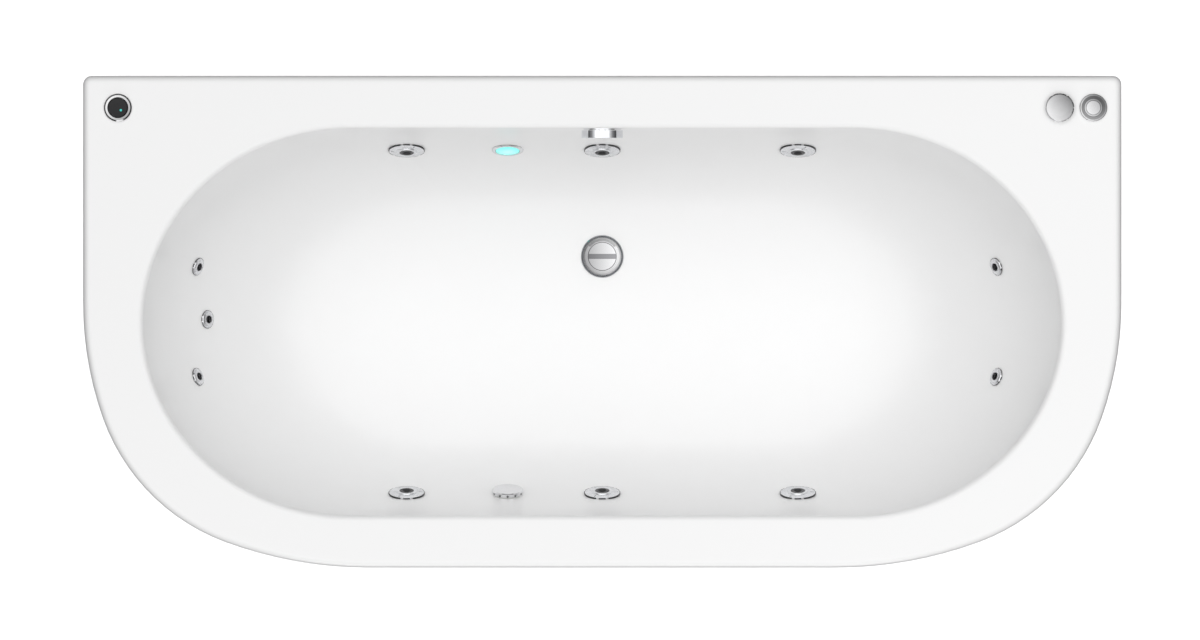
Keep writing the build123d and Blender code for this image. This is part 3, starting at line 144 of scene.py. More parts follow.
# %% [markdown]
# The dome alone would light both ends of the basin alike. A weak soft lamp high on the right tips
# the balance, as in the photograph. A second, low in front, lights the curved skirt. Area lamps are
# used because their shadows are soft, and only the front one may be mirrored, where it gives the
# faces of the jets and the overflow a bright patch.

# %% Soft lamps
def soft_lamp(name, place, target, size, power, mirrored=False):
    """A square lamp that looks at a point."""
    light = bpy.data.lights.new(name, "AREA")
    light.shape = "SQUARE"
    light.size = size
    light.energy = power
    lamp = bpy.data.objects.new(name, light)
    lamp.location = place
    aim = Vector(target) - Vector(place)
    lamp.rotation_euler = aim.to_track_quat("-Z", "Y").to_euler()
    lamp.visible_glossy = mirrored
    bpy.context.scene.collection.objects.link(lamp)


soft_lamp("key_lamp", (1.6, -0.4, 3.6), (0.6, 0.0, 0.4), 2.4, 13.0)
soft_lamp("front_lamp", (0.0, -5.0, 1.1), (0.0, 0.0, 0.5), 3.0, 80.0, mirrored=True)

# %% [markdown]
# ## Helpers for finishes
# Every finish is one Principled shader whose fixed numbers are set on its own sockets. What varies
# over a surface comes from small node groups that several finishes share. They work on object
# coordinates, which are metres on the bath itself, so a grain of half a millimetre stays half a
# millimetre on every piece.

# %% Finish helpers
def finish(name, numbers):
    """A new material with plain values on its Principled shader, and its object coordinates."""
    material = bpy.data.materials.new(name)
    material.use_nodes = True
    shader = material.node_tree.nodes["Principled BSDF"]
    for socket, value in numbers.items():
        shader.inputs[socket].default_value = value
    coords = material.node_tree.nodes.new("ShaderNodeTexCoord")
    return material, shader, coords.outputs["Object"]


def effect_group(name, inputs, outputs):
    """An empty shader node group with named sockets."""
    tree = bpy.data.node_groups.new(name, "ShaderNodeTree")
    tree.interface.new_socket("Vector", in_out="INPUT", socket_type="NodeSocketVector")
    for label, kind, value in inputs:
        socket = tree.interface.new_socket(label, in_out="INPUT", socket_type=kind)
        socket.default_value = value
    for label, kind in outputs:
        tree.interface.new_socket(label, in_out="OUTPUT", socket_type=kind)
    return tree, tree.nodes.new("NodeGroupInput").outputs, tree.nodes.new("NodeGroupOutput").inputs


def add_node(tree, kind, **settings):
    """A node with some of its properties set."""
    node = tree.nodes.new(kind)
    for key, value in settings.items():
        setattr(node, key, value)
    return node


def use_group(material, group, vector, values):
    """Place an effect in a material with this material's own values."""
    node = add_node(material.node_tree, "ShaderNodeGroup", node_tree=group)
    material.node_tree.links.new(vector, node.inputs["Vector"])
    for socket, value in values.items():
        node.inputs[socket].default_value = value
    return node.outputs


def join(material, source, target):
    """Link an output of a material to an input."""
    material.node_tree.links.new(source, target)


def raise_bump(material, shader, height, distance):
    """Feed a height into the shader's normal."""
    bump = material.node_tree.nodes.new("ShaderNodeBump")
    bump.inputs["Distance"].default_value = distance
    join(material, height, bump.inputs["Height"])
    join(material, bump.outputs["Normal"], shader.inputs["Normal"])


# %% [markdown]
# ## Shared effects
# Four effects cover nearly all that is on the bath. Tone drift lets a colour wander a little between
# two tints. Uneven gloss moves the roughness between two values. Ripple is the slight waviness of a
# moulded or polished skin. Streaks are the fine parallel scratches that brushing leaves. Each could
# be drawn anew in every material, but a group is built once and placed with other numbers. A noise
# keeps mostly between 0.3 and 0.7, so that span is stretched to the whole range.

# %% Tone drift
FLOAT, COLOR = "NodeSocketFloat", "NodeSocketColor"
NOISE_LOW, NOISE_HIGH = 0.3, 0.7

tone_drift, given, made = effect_group(
    "tone_drift",
    [
        ("Scale", FLOAT, 4.0), ("Detail", FLOAT, 3.0),
        ("First", COLOR, (1, 1, 1, 1)), ("Second", COLOR, (0, 0, 0, 1)),
    ],
    [("Color", COLOR)],
)
cloud = add_node(tone_drift, "ShaderNodeTexNoise")
blend = add_node(tone_drift, "ShaderNodeMix", data_type="RGBA")
spread = add_node(tone_drift, "ShaderNodeMapRange")
spread.inputs["From Min"].default_value = NOISE_LOW
spread.inputs["From Max"].default_value = NOISE_HIGH
tone_drift.links.new(given["Vector"], cloud.inputs["Vector"])
tone_drift.links.new(given["Scale"], cloud.inputs["Scale"])
tone_drift.links.new(given["Detail"], cloud.inputs["Detail"])
tone_drift.links.new(cloud.outputs["Fac"], spread.inputs["Value"])
tone_drift.links.new(spread.outputs["Result"], blend.inputs["Factor"])
tone_drift.links.new(given["First"], blend.inputs["A"])
tone_drift.links.new(given["Second"], blend.inputs["B"])
tone_drift.links.new(blend.outputs["Result"], made["Color"])
print("effect", tone_drift.name)

# %% Uneven gloss
uneven_gloss, given, made = effect_group(
    "uneven_gloss",
    [("Scale", FLOAT, 12.0), ("Low", FLOAT, 0.1), ("High", FLOAT, 0.2)],
    [("Roughness", FLOAT)],
)
smear = add_node(uneven_gloss, "ShaderNodeTexNoise")
smear.inputs["Detail"].default_value = 4.0
gloss_span = add_node(uneven_gloss, "ShaderNodeMapRange")
gloss_span.inputs["From Min"].default_value = NOISE_LOW
gloss_span.inputs["From Max"].default_value = NOISE_HIGH
uneven_gloss.links.new(given["Vector"], smear.inputs["Vector"])
uneven_gloss.links.new(given["Scale"], smear.inputs["Scale"])
uneven_gloss.links.new(smear.outputs["Fac"], gloss_span.inputs["Value"])
uneven_gloss.links.new(given["Low"], gloss_span.inputs["To Min"])
uneven_gloss.links.new(given["High"], gloss_span.inputs["To Max"])
uneven_gloss.links.new(gloss_span.outputs["Result"], made["Roughness"])
print("effect", uneven_gloss.name)

# %% Ripple
ripple, given, made = effect_group(
    "ripple",
    [("Scale", FLOAT, 60.0), ("Detail", FLOAT, 1.0)],
    [("Height", FLOAT)],
)
wave = add_node(ripple, "ShaderNodeTexNoise")
ripple.links.new(given["Vector"], wave.inputs["Vector"])
ripple.links.new(given["Scale"], wave.inputs["Scale"])
ripple.links.new(given["Detail"], wave.inputs["Detail"])
ripple.links.new(wave.outputs["Fac"], made["Height"])
print("effect", ripple.name)

# %% Streaks
streaks, given, made = effect_group(
    "streaks",
    [("Stretch", "NodeSocketVector", (1.0, 1.0, 1.0)), ("Scale", FLOAT, 900.0)],
    [("Mask", FLOAT)],
)
pull = add_node(streaks, "ShaderNodeVectorMath", operation="MULTIPLY")
scratch = add_node(streaks, "ShaderNodeTexNoise")
scratch.inputs["Detail"].default_value = 2.0
streaks.links.new(given["Vector"], pull.inputs[0])
streaks.links.new(given["Stretch"], pull.inputs[1])
streaks.links.new(pull.outputs["Vector"], scratch.inputs["Vector"])
streaks.links.new(given["Scale"], scratch.inputs["Scale"])
streaks.links.new(scratch.outputs["Fac"], made["Mask"])
print("effect", streaks.name)

# %% [markdown]
# ## Acrylic
# A bath is one sheet of white acrylic, softened and drawn into a mould. Its face is glossy and very
# slightly wavy. Behind it lies sprayed resin with chopped glass, which is dull, yellowish and
# rough. Both belong to the same CAD solid. They could be split by hand into two sets of faces, but
# one material can tell them apart by the way a face points: the resin is wherever the surface looks
# down. The tone of the white face hardly drifts, because clean acrylic has no clouds in it.

# %% White acrylic
LOOKS_DOWN_FROM, LOOKS_DOWN_FULLY = -0.02, -0.06
RESIN_ROUGHNESS = 0.62

acrylic, shader, place = finish(
    "white_acrylic",
    {"IOR": 1.49, "Coat Weight": 0.2, "Coat Roughness": 0.16, "Coat IOR": 1.4},
)
face_tone = use_group(
    acrylic, tone_drift, place,
    {
        "Scale": 1.2, "Detail": 0.0,
        "First": (0.922, 0.922, 0.922, 1), "Second": (0.925, 0.925, 0.925, 1),
    },
)
resin_tone = use_group(
    acrylic, tone_drift, place,
    {
        "Scale": 45.0, "Detail": 8.0,
        "First": (0.62, 0.57, 0.43, 1), "Second": (0.78, 0.74, 0.62, 1),
    },
)
face_gloss = use_group(acrylic, uneven_gloss, place, {"Scale": 1.5, "Low": 0.29, "High": 0.30})
facing = add_node(acrylic.node_tree, "ShaderNodeNewGeometry")
facing_split = add_node(acrylic.node_tree, "ShaderNodeSeparateXYZ")
under = add_node(acrylic.node_tree, "ShaderNodeMapRange")
under.inputs["From Min"].default_value = LOOKS_DOWN_FROM
under.inputs["From Max"].default_value = LOOKS_DOWN_FULLY
tone_mix = add_node(acrylic.node_tree, "ShaderNodeMix", data_type="RGBA")
gloss_mix = add_node(acrylic.node_tree, "ShaderNodeMix", data_type="FLOAT")
gloss_mix.inputs["B"].default_value = RESIN_ROUGHNESS
join(acrylic, facing.outputs["Normal"], facing_split.inputs[0])
join(acrylic, facing_split.outputs["Z"], under.inputs["Value"])
join(acrylic, under.outputs["Result"], tone_mix.inputs["Factor"])
join(acrylic, under.outputs["Result"], gloss_mix.inputs["Factor"])
join(acrylic, face_tone["Color"], tone_mix.inputs["A"])
join(acrylic, resin_tone["Color"], tone_mix.inputs["B"])
join(acrylic, face_gloss["Roughness"], gloss_mix.inputs["A"])
join(acrylic, tone_mix.outputs["Result"], shader.inputs["Base Color"])
join(acrylic, gloss_mix.outputs["Result"], shader.inputs["Roughness"])
face_wave = use_group(acrylic, ripple, place, {"Scale": 14.0, "Detail": 0.5})
raise_bump(acrylic, shader, face_wave["Height"], 0.00001)
print("finish", acrylic.name)

# %% [markdown]
# The skirt is a thinner moulding of the same white. It stands upright and mirrors the room from the
# side, so its gloss is sharper and its slow waves are deeper than those of the basin. It could share
# the basin's finish, but then those waves would show in the flat rim too.

# %% Skirt acrylic
panel_acrylic, shader, place = finish(
    "panel_acrylic", {"IOR": 1.49, "Coat Weight": 0.3, "Coat Roughness": 0.05}
)
panel_tone = use_group(
    panel_acrylic, tone_drift, place,
    {"Scale": 2.0, "First": (0.89, 0.89, 0.885, 1), "Second": (0.91, 0.91, 0.905, 1)},
)
panel_gloss = use_group(
    panel_acrylic, uneven_gloss, place, {"Scale": 6.0, "Low": 0.14, "High": 0.24}
)
panel_wave = use_group(panel_acrylic, ripple, place, {"Scale": 9.0, "Detail": 0.5})
join(panel_acrylic, panel_tone["Color"], shader.inputs["Base Color"])
join(panel_acrylic, panel_gloss["Roughness"], shader.inputs["Roughness"])
raise_bump(panel_acrylic, shader, panel_wave["Height"], 0.0001)
print("finish", panel_acrylic.name)

# %% [markdown]
# ## Chrome
# Chrome plate is nearly a mirror, so most of its look is the room. What is its own is a slightly
# cool tint, faint smears where a cloth has been, and hairline scratches. The zinc on the steel frame
# is the same kind of surface, only duller and spangled, so one helper makes every metal.

# %% Polished, brushed and galvanised metal
METAL = {"Metallic": 1.0, "IOR": 2.2}
POLISH_LINES = (1.0, 0.08, 0.08)
BRUSH_LINES = (0.03, 1.0, 1.0)
NO_LINES = (1.0, 1.0, 1.0)


def metal(name, tint, low, high, scratch_stretch, scratch_depth):
    """A plated metal with smears and fine scratches."""
    material, shader, place = finish(name, METAL)
    dark = (tint[0] * 0.92, tint[1] * 0.92, tint[2] * 0.93, 1)
    tone = use_group(
        material, tone_drift, place, {"Scale": 60.0, "First": (*tint, 1), "Second": dark}
    )
    gloss = use_group(material, uneven_gloss, place, {"Scale": 90.0, "Low": low, "High": high})
    lines = use_group(
        material, streaks, place, {"Stretch": scratch_stretch, "Scale": 1400.0}
    )
    join(material, tone["Color"], shader.inputs["Base Color"])
    join(material, gloss["Roughness"], shader.inputs["Roughness"])
    raise_bump(material, shader, lines["Mask"], scratch_depth)
    return material


chrome = metal("polished_chrome", (0.84, 0.85, 0.87), 0.03, 0.07, POLISH_LINES, 0.000004)
brushed = metal("brushed_chrome", (0.76, 0.765, 0.78), 0.24, 0.30, BRUSH_LINES, 0.000006)
# The waste flange's chrome is darkened: a painted reflection of the dim lower dome.
ring_chrome = metal("chrome_with_painted_dark_ring", (0.40, 0.41, 0.43), 0.08, 0.14, POLISH_LINES, 0.000004)
galvanised = metal("galvanised_steel", (0.56, 0.58, 0.60), 0.32, 0.55, NO_LINES, 0.00006)
print("finishes", chrome.name, brushed.name, ring_chrome.name, galvanised.name)

# %% [markdown]
# Turned and brushed faces are never evenly bright: the light slides from one side of the disc to the
# other. A brushed finish could do this with anisotropy, but the scene is lit too evenly for that to
# show. So each control gets a chrome with a painted reflection: its base colour falls from light to
# dark across it in one direction. The centre and the radius come from the box of the CAD piece.

# %% Chrome with a painted reflection across a disc
def painted_reflection_chrome(node, degrees, light, dark, low=0.10, high=0.18):
    """Chrome for one round piece with a painted reflection, darker towards an angle."""
    near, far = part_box(node)
    middle = (near + far) / 2
    radius = (far.x - near.x) / 2
    material, shader, place = finish("painted_reflection_on_" + node, METAL)
    tree = material.node_tree
    offset = add_node(tree, "ShaderNodeVectorMath", operation="SUBTRACT")
    offset.inputs[1].default_value = middle
    heading = math.radians(degrees)
    along = add_node(tree, "ShaderNodeVectorMath", operation="DOT_PRODUCT")
    along.inputs[1].default_value = (math.cos(heading), math.sin(heading), 0.0)
    fall = add_node(tree, "ShaderNodeMapRange")
    fall.inputs["From Min"].default_value = -radius
    fall.inputs["From Max"].default_value = radius
    tint = add_node(tree, "ShaderNodeMix", data_type="RGBA")
    tint.inputs["A"].default_value = (light, light, light * 1.01, 1)
    tint.inputs["B"].default_value = (dark, dark, dark * 1.02, 1)
    join(material, place, offset.inputs[0])
    join(material, offset.outputs["Vector"], along.inputs[0])
    join(material, along.outputs["Value"], fall.inputs["Value"])
    join(material, fall.outputs["Result"], tint.inputs["Factor"])
    join(material, tint.outputs["Result"], shader.inputs["Base Color"])
    gloss = use_group(material, uneven_gloss, place, {"Scale": 90.0, "Low": low, "High": high})
    join(material, gloss["Roughness"], shader.inputs["Roughness"])
    return material, tint.outputs["Result"], shader, offset.outputs["Vector"]


# Each control's base colour is a painted reflection, light on one side and dark on the other.
knob_painted_reflection = painted_reflection_chrome("air_knob", 45, 0.62, 0.16)[0]
switch_painted_reflection = painted_reflection_chrome("air_switch_body", 45, 0.58, 0.13)[0]
press_painted_reflection = painted_reflection_chrome("air_button", 45, 0.62, 0.34)[0]
light_switch_painted_reflection = painted_reflection_chrome("light_switch_body", -45, 0.70, 0.24)[0]
cover_painted_reflection = painted_reflection_chrome("suction_cover", -90, 0.78, 0.70)[0]
print("graded", len([m for m in bpy.data.materials if m.name.startswith("painted_reflection_on_")]))

# %% [markdown]
# The waste plug's painted reflection shows a little more of the room: its flat centre has a dark
# painted line round it, for the shade in a fine turned groove, and a dark bar across the middle,
# a painted reflection of a gap in the lights. Both are masks worked out from the distance to the
# centre of the plug. Real grooves would be finer than the picture can show.

# %% Waste plug
BAR_HALF = 0.0042
LINE_RADIUS = 0.0233
LINE_HALF = 0.0006

plug_painted_chrome, plug_painted_sheen, plug_shader, plug_offset = painted_reflection_chrome(
    "waste_plug", 180, 0.74, 0.26, 0.06, 0.10
)
plug_split = add_node(plug_painted_chrome.node_tree, "ShaderNodeSeparateXYZ")
plug_flat = add_node(plug_painted_chrome.node_tree, "ShaderNodeVectorMath", operation="MULTIPLY")
plug_flat.inputs[1].default_value = (1.0, 1.0, 0.0)
plug_reach = add_node(plug_painted_chrome.node_tree, "ShaderNodeVectorMath", operation="LENGTH")
join(plug_painted_chrome, plug_offset, plug_split.inputs[0])
join(plug_painted_chrome, plug_offset, plug_flat.inputs[0])
join(plug_painted_chrome, plug_flat.outputs["Vector"], plug_reach.inputs[0])


def plug_math(operation, first, second):
    """A maths node whose inputs are sockets or numbers."""
    node = add_node(plug_painted_chrome.node_tree, "ShaderNodeMath", operation=operation)
    for socket, value in zip(node.inputs, (first, second)):
        if isinstance(value, (int, float)):
            socket.default_value = value
        else:
            join(plug_painted_chrome, value, socket)
    return node.outputs["Value"]


# The bar is a painted reflection of a gap in the lights; the line is painted shade of a turned groove.
bar = plug_math("LESS_THAN", plug_math("ABSOLUTE", plug_split.outputs["Y"], 0.0), BAR_HALF)
inner = plug_math("LESS_THAN", plug_reach.outputs["Value"], LINE_RADIUS)
from_line = plug_math("SUBTRACT", plug_reach.outputs["Value"], LINE_RADIUS)
line = plug_math("LESS_THAN", plug_math("ABSOLUTE", from_line, 0.0), LINE_HALF)
shade = plug_math("MAXIMUM", plug_math("MULTIPLY", bar, inner), line)
darken = add_node(plug_painted_chrome.node_tree, "ShaderNodeMix", data_type="RGBA", blend_type="MULTIPLY")
darken.inputs["B"].default_value = (0.42, 0.42, 0.43, 1)
join(plug_painted_chrome, shade, darken.inputs["Factor"])
join(plug_painted_chrome, plug_painted_sheen, darken.inputs["A"])
join(plug_painted_chrome, darken.outputs["Result"], plug_shader.inputs["Base Color"])
print("plug line", LINE_RADIUS * 1000, "mm")

# %% [markdown]
# ## Moulded plastics, rubber and board
# Behind the skirt everything is there to work: grey and white pipe, a black pump, rubber seals and
# a chipboard panel soaked in resin. One helper makes the plastics, with their own tint, gloss and
# the fine grain of the mould.

# %% Plastics
def plastic(name, tint, low, high, grain_scale, grain_depth, numbers=()):
    """A moulded plastic with a drifting tint and a fine grain."""
    material, shader, place = finish(name, {"IOR": 1.5, **dict(numbers)})
    other = tuple(min(1.0, c * 1.12 + 0.006) for c in tint)
    tone = use_group(
        material, tone_drift, place,
        {"Scale": 18.0, "First": (*tint, 1), "Second": (*other, 1)},
    )
    gloss = use_group(material, uneven_gloss, place, {"Scale": 30.0, "Low": low, "High": high})
    grain = use_group(material, ripple, place, {"Scale": grain_scale, "Detail": 3.0})
    join(material, tone["Color"], shader.inputs["Base Color"])
    join(material, gloss["Roughness"], shader.inputs["Roughness"])
    raise_bump(material, shader, grain["Height"], grain_depth)
    return material


pipe_white = plastic("white_pressure_pipe", (0.66, 0.67, 0.66), 0.24, 0.36, 160.0, 0.00010)
air_grey = plastic("grey_air_pipe", (0.36, 0.38, 0.40), 0.30, 0.42, 200.0, 0.00010)
waste_white = plastic("white_waste_fitting", (0.70, 0.70, 0.67), 0.28, 0.40, 180.0, 0.00012)
jet_grey = plastic("dark_grey_jet", (0.022, 0.022, 0.024), 0.30, 0.42, 500.0, 0.00004)
pump_black = plastic("black_pump_moulding", (0.022, 0.023, 0.025), 0.34, 0.50, 420.0, 0.00012)
box_grey = plastic("grey_control_box", (0.44, 0.45, 0.46), 0.38, 0.50, 520.0, 0.00012)
rubber = plastic("black_rubber", (0.018, 0.018, 0.018), 0.62, 0.80, 300.0, 0.00010)
motor_paint = plastic("grey_motor_paint", (0.21, 0.225, 0.24), 0.38, 0.52, 260.0, 0.00020)
button_black = plastic(
    "gloss_black_button", (0.010, 0.010, 0.011), 0.05, 0.09, 120.0, 0.00001,
    {"Specular IOR Level": 0.22},
)
print("materials so far", len(bpy.data.materials))

# %% [markdown]
# The board under the floor of the basin is chipboard, sealed with the same resin. Its chips are
# Voronoi cells, each with a wood colour of its own, because a noise would give clouds with no
# edges. The cells also lift the surface a little.

# %% Chipboard
CHIP_DARK = (0.34, 0.22, 0.11, 1)
CHIP_LIGHT = (0.62, 0.47, 0.28, 1)

chipboard, shader, place = finish(
    "resin_coated_chipboard", {"IOR": 1.5, "Coat Weight": 0.25, "Coat Roughness": 0.3}
)
flake = add_node(chipboard.node_tree, "ShaderNodeTexVoronoi")
flake.inputs["Scale"].default_value = 190.0
flake_pick = add_node(chipboard.node_tree, "ShaderNodeValToRGB")
for element, colour in zip(flake_pick.color_ramp.elements, (CHIP_DARK, CHIP_LIGHT)):
    element.color = colour
resin_patch = use_group(
    chipboard, tone_drift, place,
    {"Scale": 9.0, "Detail": 5.0, "First": (1, 1, 1, 1), "Second": (0.80, 0.78, 0.70, 1)},
)
patch_mix = add_node(chipboard.node_tree, "ShaderNodeMix", data_type="RGBA", blend_type="MULTIPLY")
patch_mix.inputs["Factor"].default_value = 0.9
join(chipboard, place, flake.inputs["Vector"])
join(chipboard, flake.outputs["Color"], flake_pick.inputs["Fac"])
join(chipboard, flake_pick.outputs["Color"], patch_mix.inputs["A"])
join(chipboard, resin_patch["Color"], patch_mix.inputs["B"])
join(chipboard, patch_mix.outputs["Result"], shader.inputs["Base Color"])
board_gloss = use_group(chipboard, uneven_gloss, place, {"Scale": 12.0, "Low": 0.35, "High": 0.7})
join(chipboard, board_gloss["Roughness"], shader.inputs["Roughness"])
raise_bump(chipboard, shader, flake.outputs["Distance"], 0.0003)
print("finish", chipboard.name)

# %% [markdown]
# ## The lamp
# The underwater light glows teal behind a domed lens. A real lamp behind clear glass would need many
# samples to look clean, so the lens gets its own emission, stronger in the middle, where the lamp
# sits behind it.

# %% Glowing lens
GLOW_CORE = 0.004
GLOW_EDGE = 0.020
GLOW_STRENGTH = 0.75

low_corner, high_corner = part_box("light_lens")
lens_middle = (low_corner + high_corner) / 2
glow, shader, place = finish("teal_light_lens", {"IOR": 1.5, "Roughness": 0.12, "Coat Weight": 1.0})
centred = add_node(glow.node_tree, "ShaderNodeVectorMath", operation="DISTANCE")
centred.inputs[1].default_value = lens_middle
fade = add_node(glow.node_tree, "ShaderNodeMapRange")
fade.inputs["From Min"].default_value = GLOW_CORE
fade.inputs["From Max"].default_value = GLOW_EDGE
shine = add_node(glow.node_tree, "ShaderNodeMix", data_type="RGBA")
shine.inputs["A"].default_value = (0.28, 0.98, 0.86, 1)
shine.inputs["B"].default_value = (0.10, 0.66, 0.60, 1)
join(glow, place, centred.inputs[0])
join(glow, centred.outputs["Value"], fade.inputs["Value"])
join(glow, fade.outputs["Result"], shine.inputs["Factor"])
join(glow, shine.outputs["Result"], shader.inputs["Base Color"])
join(glow, shine.outputs["Result"], shader.inputs["Emission Color"])
shader.inputs["Emission Strength"].default_value = GLOW_STRENGTH
print("lens middle", [round(c, 3) for c in lens_middle])

# %% [markdown]
# The light button carries a pilot dot in the same teal. It is far too small and flush to be a piece of
# its own, so a mask round one point of the black button gives it its colour.

# %% Pilot dot
PILOT = (-0.7880, 0.3463)
PILOT_RADIUS = 0.0019
PILOT_BLUR = 0.15

pilot_shader = button_black.node_tree.nodes["Principled BSDF"]
button_place = next(n for n in button_black.node_tree.nodes if n.type == "TEX_COORD").outputs["Object"]
flatten = add_node(button_black.node_tree, "ShaderNodeVectorMath", operation="MULTIPLY")
flatten.inputs[1].default_value = (1.0, 1.0, 0.0)
from_pilot = add_node(button_black.node_tree, "ShaderNodeVectorMath", operation="DISTANCE")
from_pilot.inputs[1].default_value = (*PILOT, 0.0)
inside = add_node(button_black.node_tree, "ShaderNodeMapRange")
inside.inputs["From Min"].default_value = PILOT_RADIUS * (1 + PILOT_BLUR)
inside.inputs["From Max"].default_value = PILOT_RADIUS * (1 - PILOT_BLUR)
pilot_glow = add_node(button_black.node_tree, "ShaderNodeMix", data_type="RGBA")
pilot_glow.inputs["A"].default_value = (0, 0, 0, 1)
pilot_glow.inputs["B"].default_value = (0.05, 0.62, 0.56, 1)
join(button_black, button_place, flatten.inputs[0])
join(button_black, flatten.outputs["Vector"], from_pilot.inputs[0])
join(button_black, from_pilot.outputs["Value"], inside.inputs["Value"])
join(button_black, inside.outputs["Result"], pilot_glow.inputs["Factor"])
join(button_black, pilot_glow.outputs["Result"], pilot_shader.inputs["Emission Color"])
pilot_shader.inputs["Emission Strength"].default_value = 1.0
print("pilot dot", round(PILOT_RADIUS * 2000, 1), "mm wide")

# %% [markdown]
# ## Who wears what
# The CAD record sorts its pieces by material slot. Each slot name is matched with one finish here,
# and a few pieces that the photograph shows differently are named one by one.

# %% Dress the CAD pieces
BY_SLOT = {
    "acrylic": acrylic, "panel_acrylic": panel_acrylic,
    "board": chipboard, "galvanised": galvanised, "chrome": chrome, "motor_metal": motor_paint,
    "pipe_plastic": pipe_white, "air_pipe_plastic": air_grey, "waste_plastic": waste_white,
    "grey_plastic": jet_grey, "pump_plastic": pump_black, "box_plastic": box_grey,
    "black_plastic": button_black, "rubber": rubber, "lens": glow,
}
# Most pieces named here wear chrome with a painted reflection.
BY_NODE = {
    "air_knob": knob_painted_reflection, "air_switch_body": switch_painted_reflection, "air_button": press_painted_reflection,
    "light_switch_body": light_switch_painted_reflection, "waste_plug": plug_painted_chrome, "waste_flange": ring_chrome,
    "suction_cover": cover_painted_reflection, "light_bezel": brushed,
}
for subpart in frame["record"]["subparts"]:
    piece = nodes[subpart["node"]]
    wear = BY_NODE.get(subpart["node"], BY_SLOT[subpart["material_slot"]])
    if subpart["node"].startswith(("side_jet_ring", "micro_jet_face")):
        wear = brushed
    if not piece.material_slots:
        piece.data.materials.append(wear)
    for slot in piece.material_slots:
        slot.material = wear
print("dressed", len(nodes), "pieces in", len(BY_SLOT), "finishes")

# %% [markdown]
# ## Painted shade in the slots round the jets
# Each jet's ring is turned by its edge, which has three short and three long slots with narrow
# ribs between them. They could be cut with a boolean, but cuts so thin leave ragged edges. Geometry
# Nodes lay dark arcs instead, as painted shade: near-black pieces put where the slots hold only
# shade. One short and one long, three times round, make them all. The arcs run just inside the edge
# of the ring, so only their dark outer face shows.

# %% A geometry recipe and its result
def recipe(name, inputs):
    """An empty Geometry Nodes group with named inputs and one geometry output."""
    tree = bpy.data.node_groups.new(name, "GeometryNodeTree")
    tree.interface.new_socket("Geometry", in_out="INPUT", socket_type="NodeSocketGeometry")
    for label, kind, value in inputs:
        tree.interface.new_socket(label, in_out="INPUT", socket_type=kind).default_value = value
    tree.interface.new_socket("Geometry", in_out="OUTPUT", socket_type="NodeSocketGeometry")
    return tree, tree.nodes.new("NodeGroupInput").outputs, tree.nodes.new("NodeGroupOutput").inputs


def close_recipe(tree, geometry, out, material):
    """Realize the instances, give the result its material and send it out."""
    real = tree.nodes.new("GeometryNodeRealizeInstances")
    paint = tree.nodes.new("GeometryNodeSetMaterial")
    paint.inputs["Material"].default_value = material
    tree.links.new(geometry, real.inputs["Geometry"])
    tree.links.new(real.outputs["Geometry"], paint.inputs["Geometry"])
    tree.links.new(paint.outputs["Geometry"], out["Geometry"])


def cook(tree, values):
    """Run a recipe with its inputs set by name and return the finished mesh."""
    seed = bpy.data.objects.new("seed", bpy.data.meshes.new("seed"))
    bpy.context.scene.collection.objects.link(seed)
    modifier = seed.modifiers.new(tree.name, "NODES")
    modifier.node_group = tree
    for item in tree.interface.items_tree:
        if item.in_out == "INPUT" and item.name in values:
            modifier[item.identifier] = values[item.name]
    bpy.context.view_layer.update()
    ready = seed.evaluated_get(bpy.context.evaluated_depsgraph_get())
    mesh = bpy.data.meshes.new_from_object(ready)
    bpy.data.objects.remove(seed)
    return mesh


def place_piece(name, mesh, matrix, body):
    """A piece whose place is in its mesh, riding on a body."""
    mesh.transform(matrix)
    piece = bpy.data.objects.new(name, mesh)
    bpy.context.scene.collection.objects.link(piece)
    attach(piece, body)
    return piece


# %% Recipe for the painted slot shade
SLOT_SHORT = math.radians(22)
SLOT_LONG = math.radians(80)
SHORT_AT = math.radians(90)
LONG_AT = math.radians(150)
TIMES_ROUND = 3

grip_slots, given, made = recipe(
    "jet_grip_slots",
    [
        ("Radius", FLOAT, 0.029), ("Thickness", FLOAT, 0.0013),
        ("Depth", FLOAT, 0.0024), ("Points", "NodeSocketInt", 28),
    ],
)
two_arcs = grip_slots.nodes.new("GeometryNodeJoinGeometry")
for middle, sweep in ((SHORT_AT, SLOT_SHORT), (LONG_AT, SLOT_LONG)):
    arc = grip_slots.nodes.new("GeometryNodeCurveArc")
    arc.inputs["Start Angle"].default_value = middle - sweep / 2
    arc.inputs["Sweep Angle"].default_value = sweep
    grip_slots.links.new(given["Radius"], arc.inputs["Radius"])
    grip_slots.links.new(given["Points"], arc.inputs["Resolution"])
    grip_slots.links.new(arc.outputs["Curve"], two_arcs.inputs["Geometry"])
section = grip_slots.nodes.new("GeometryNodeCurvePrimitiveQuadrilateral")
grip_slots.links.new(given["Thickness"], section.inputs["Width"])
grip_slots.links.new(given["Depth"], section.inputs["Height"])
thicken = grip_slots.nodes.new("GeometryNodeCurveToMesh")
thicken.inputs["Fill Caps"].default_value = True
grip_slots.links.new(two_arcs.outputs["Geometry"], thicken.inputs["Curve"])
grip_slots.links.new(section.outputs["Curve"], thicken.inputs["Profile Curve"])
thirds = grip_slots.nodes.new("GeometryNodePoints")
thirds.inputs["Count"].default_value = TIMES_ROUND
index = grip_slots.nodes.new("GeometryNodeInputIndex")
turn = add_node(grip_slots, "ShaderNodeMath", operation="MULTIPLY")
turn.inputs[1].default_value = math.tau / TIMES_ROUND
angle = grip_slots.nodes.new("ShaderNodeCombineXYZ")
spread_out = grip_slots.nodes.new("GeometryNodeInstanceOnPoints")
grip_slots.links.new(index.outputs["Index"], turn.inputs[0])
grip_slots.links.new(turn.outputs["Value"], angle.inputs["Z"])
grip_slots.links.new(thirds.outputs["Points"], spread_out.inputs["Points"])
grip_slots.links.new(thicken.outputs["Mesh"], spread_out.inputs["Instance"])
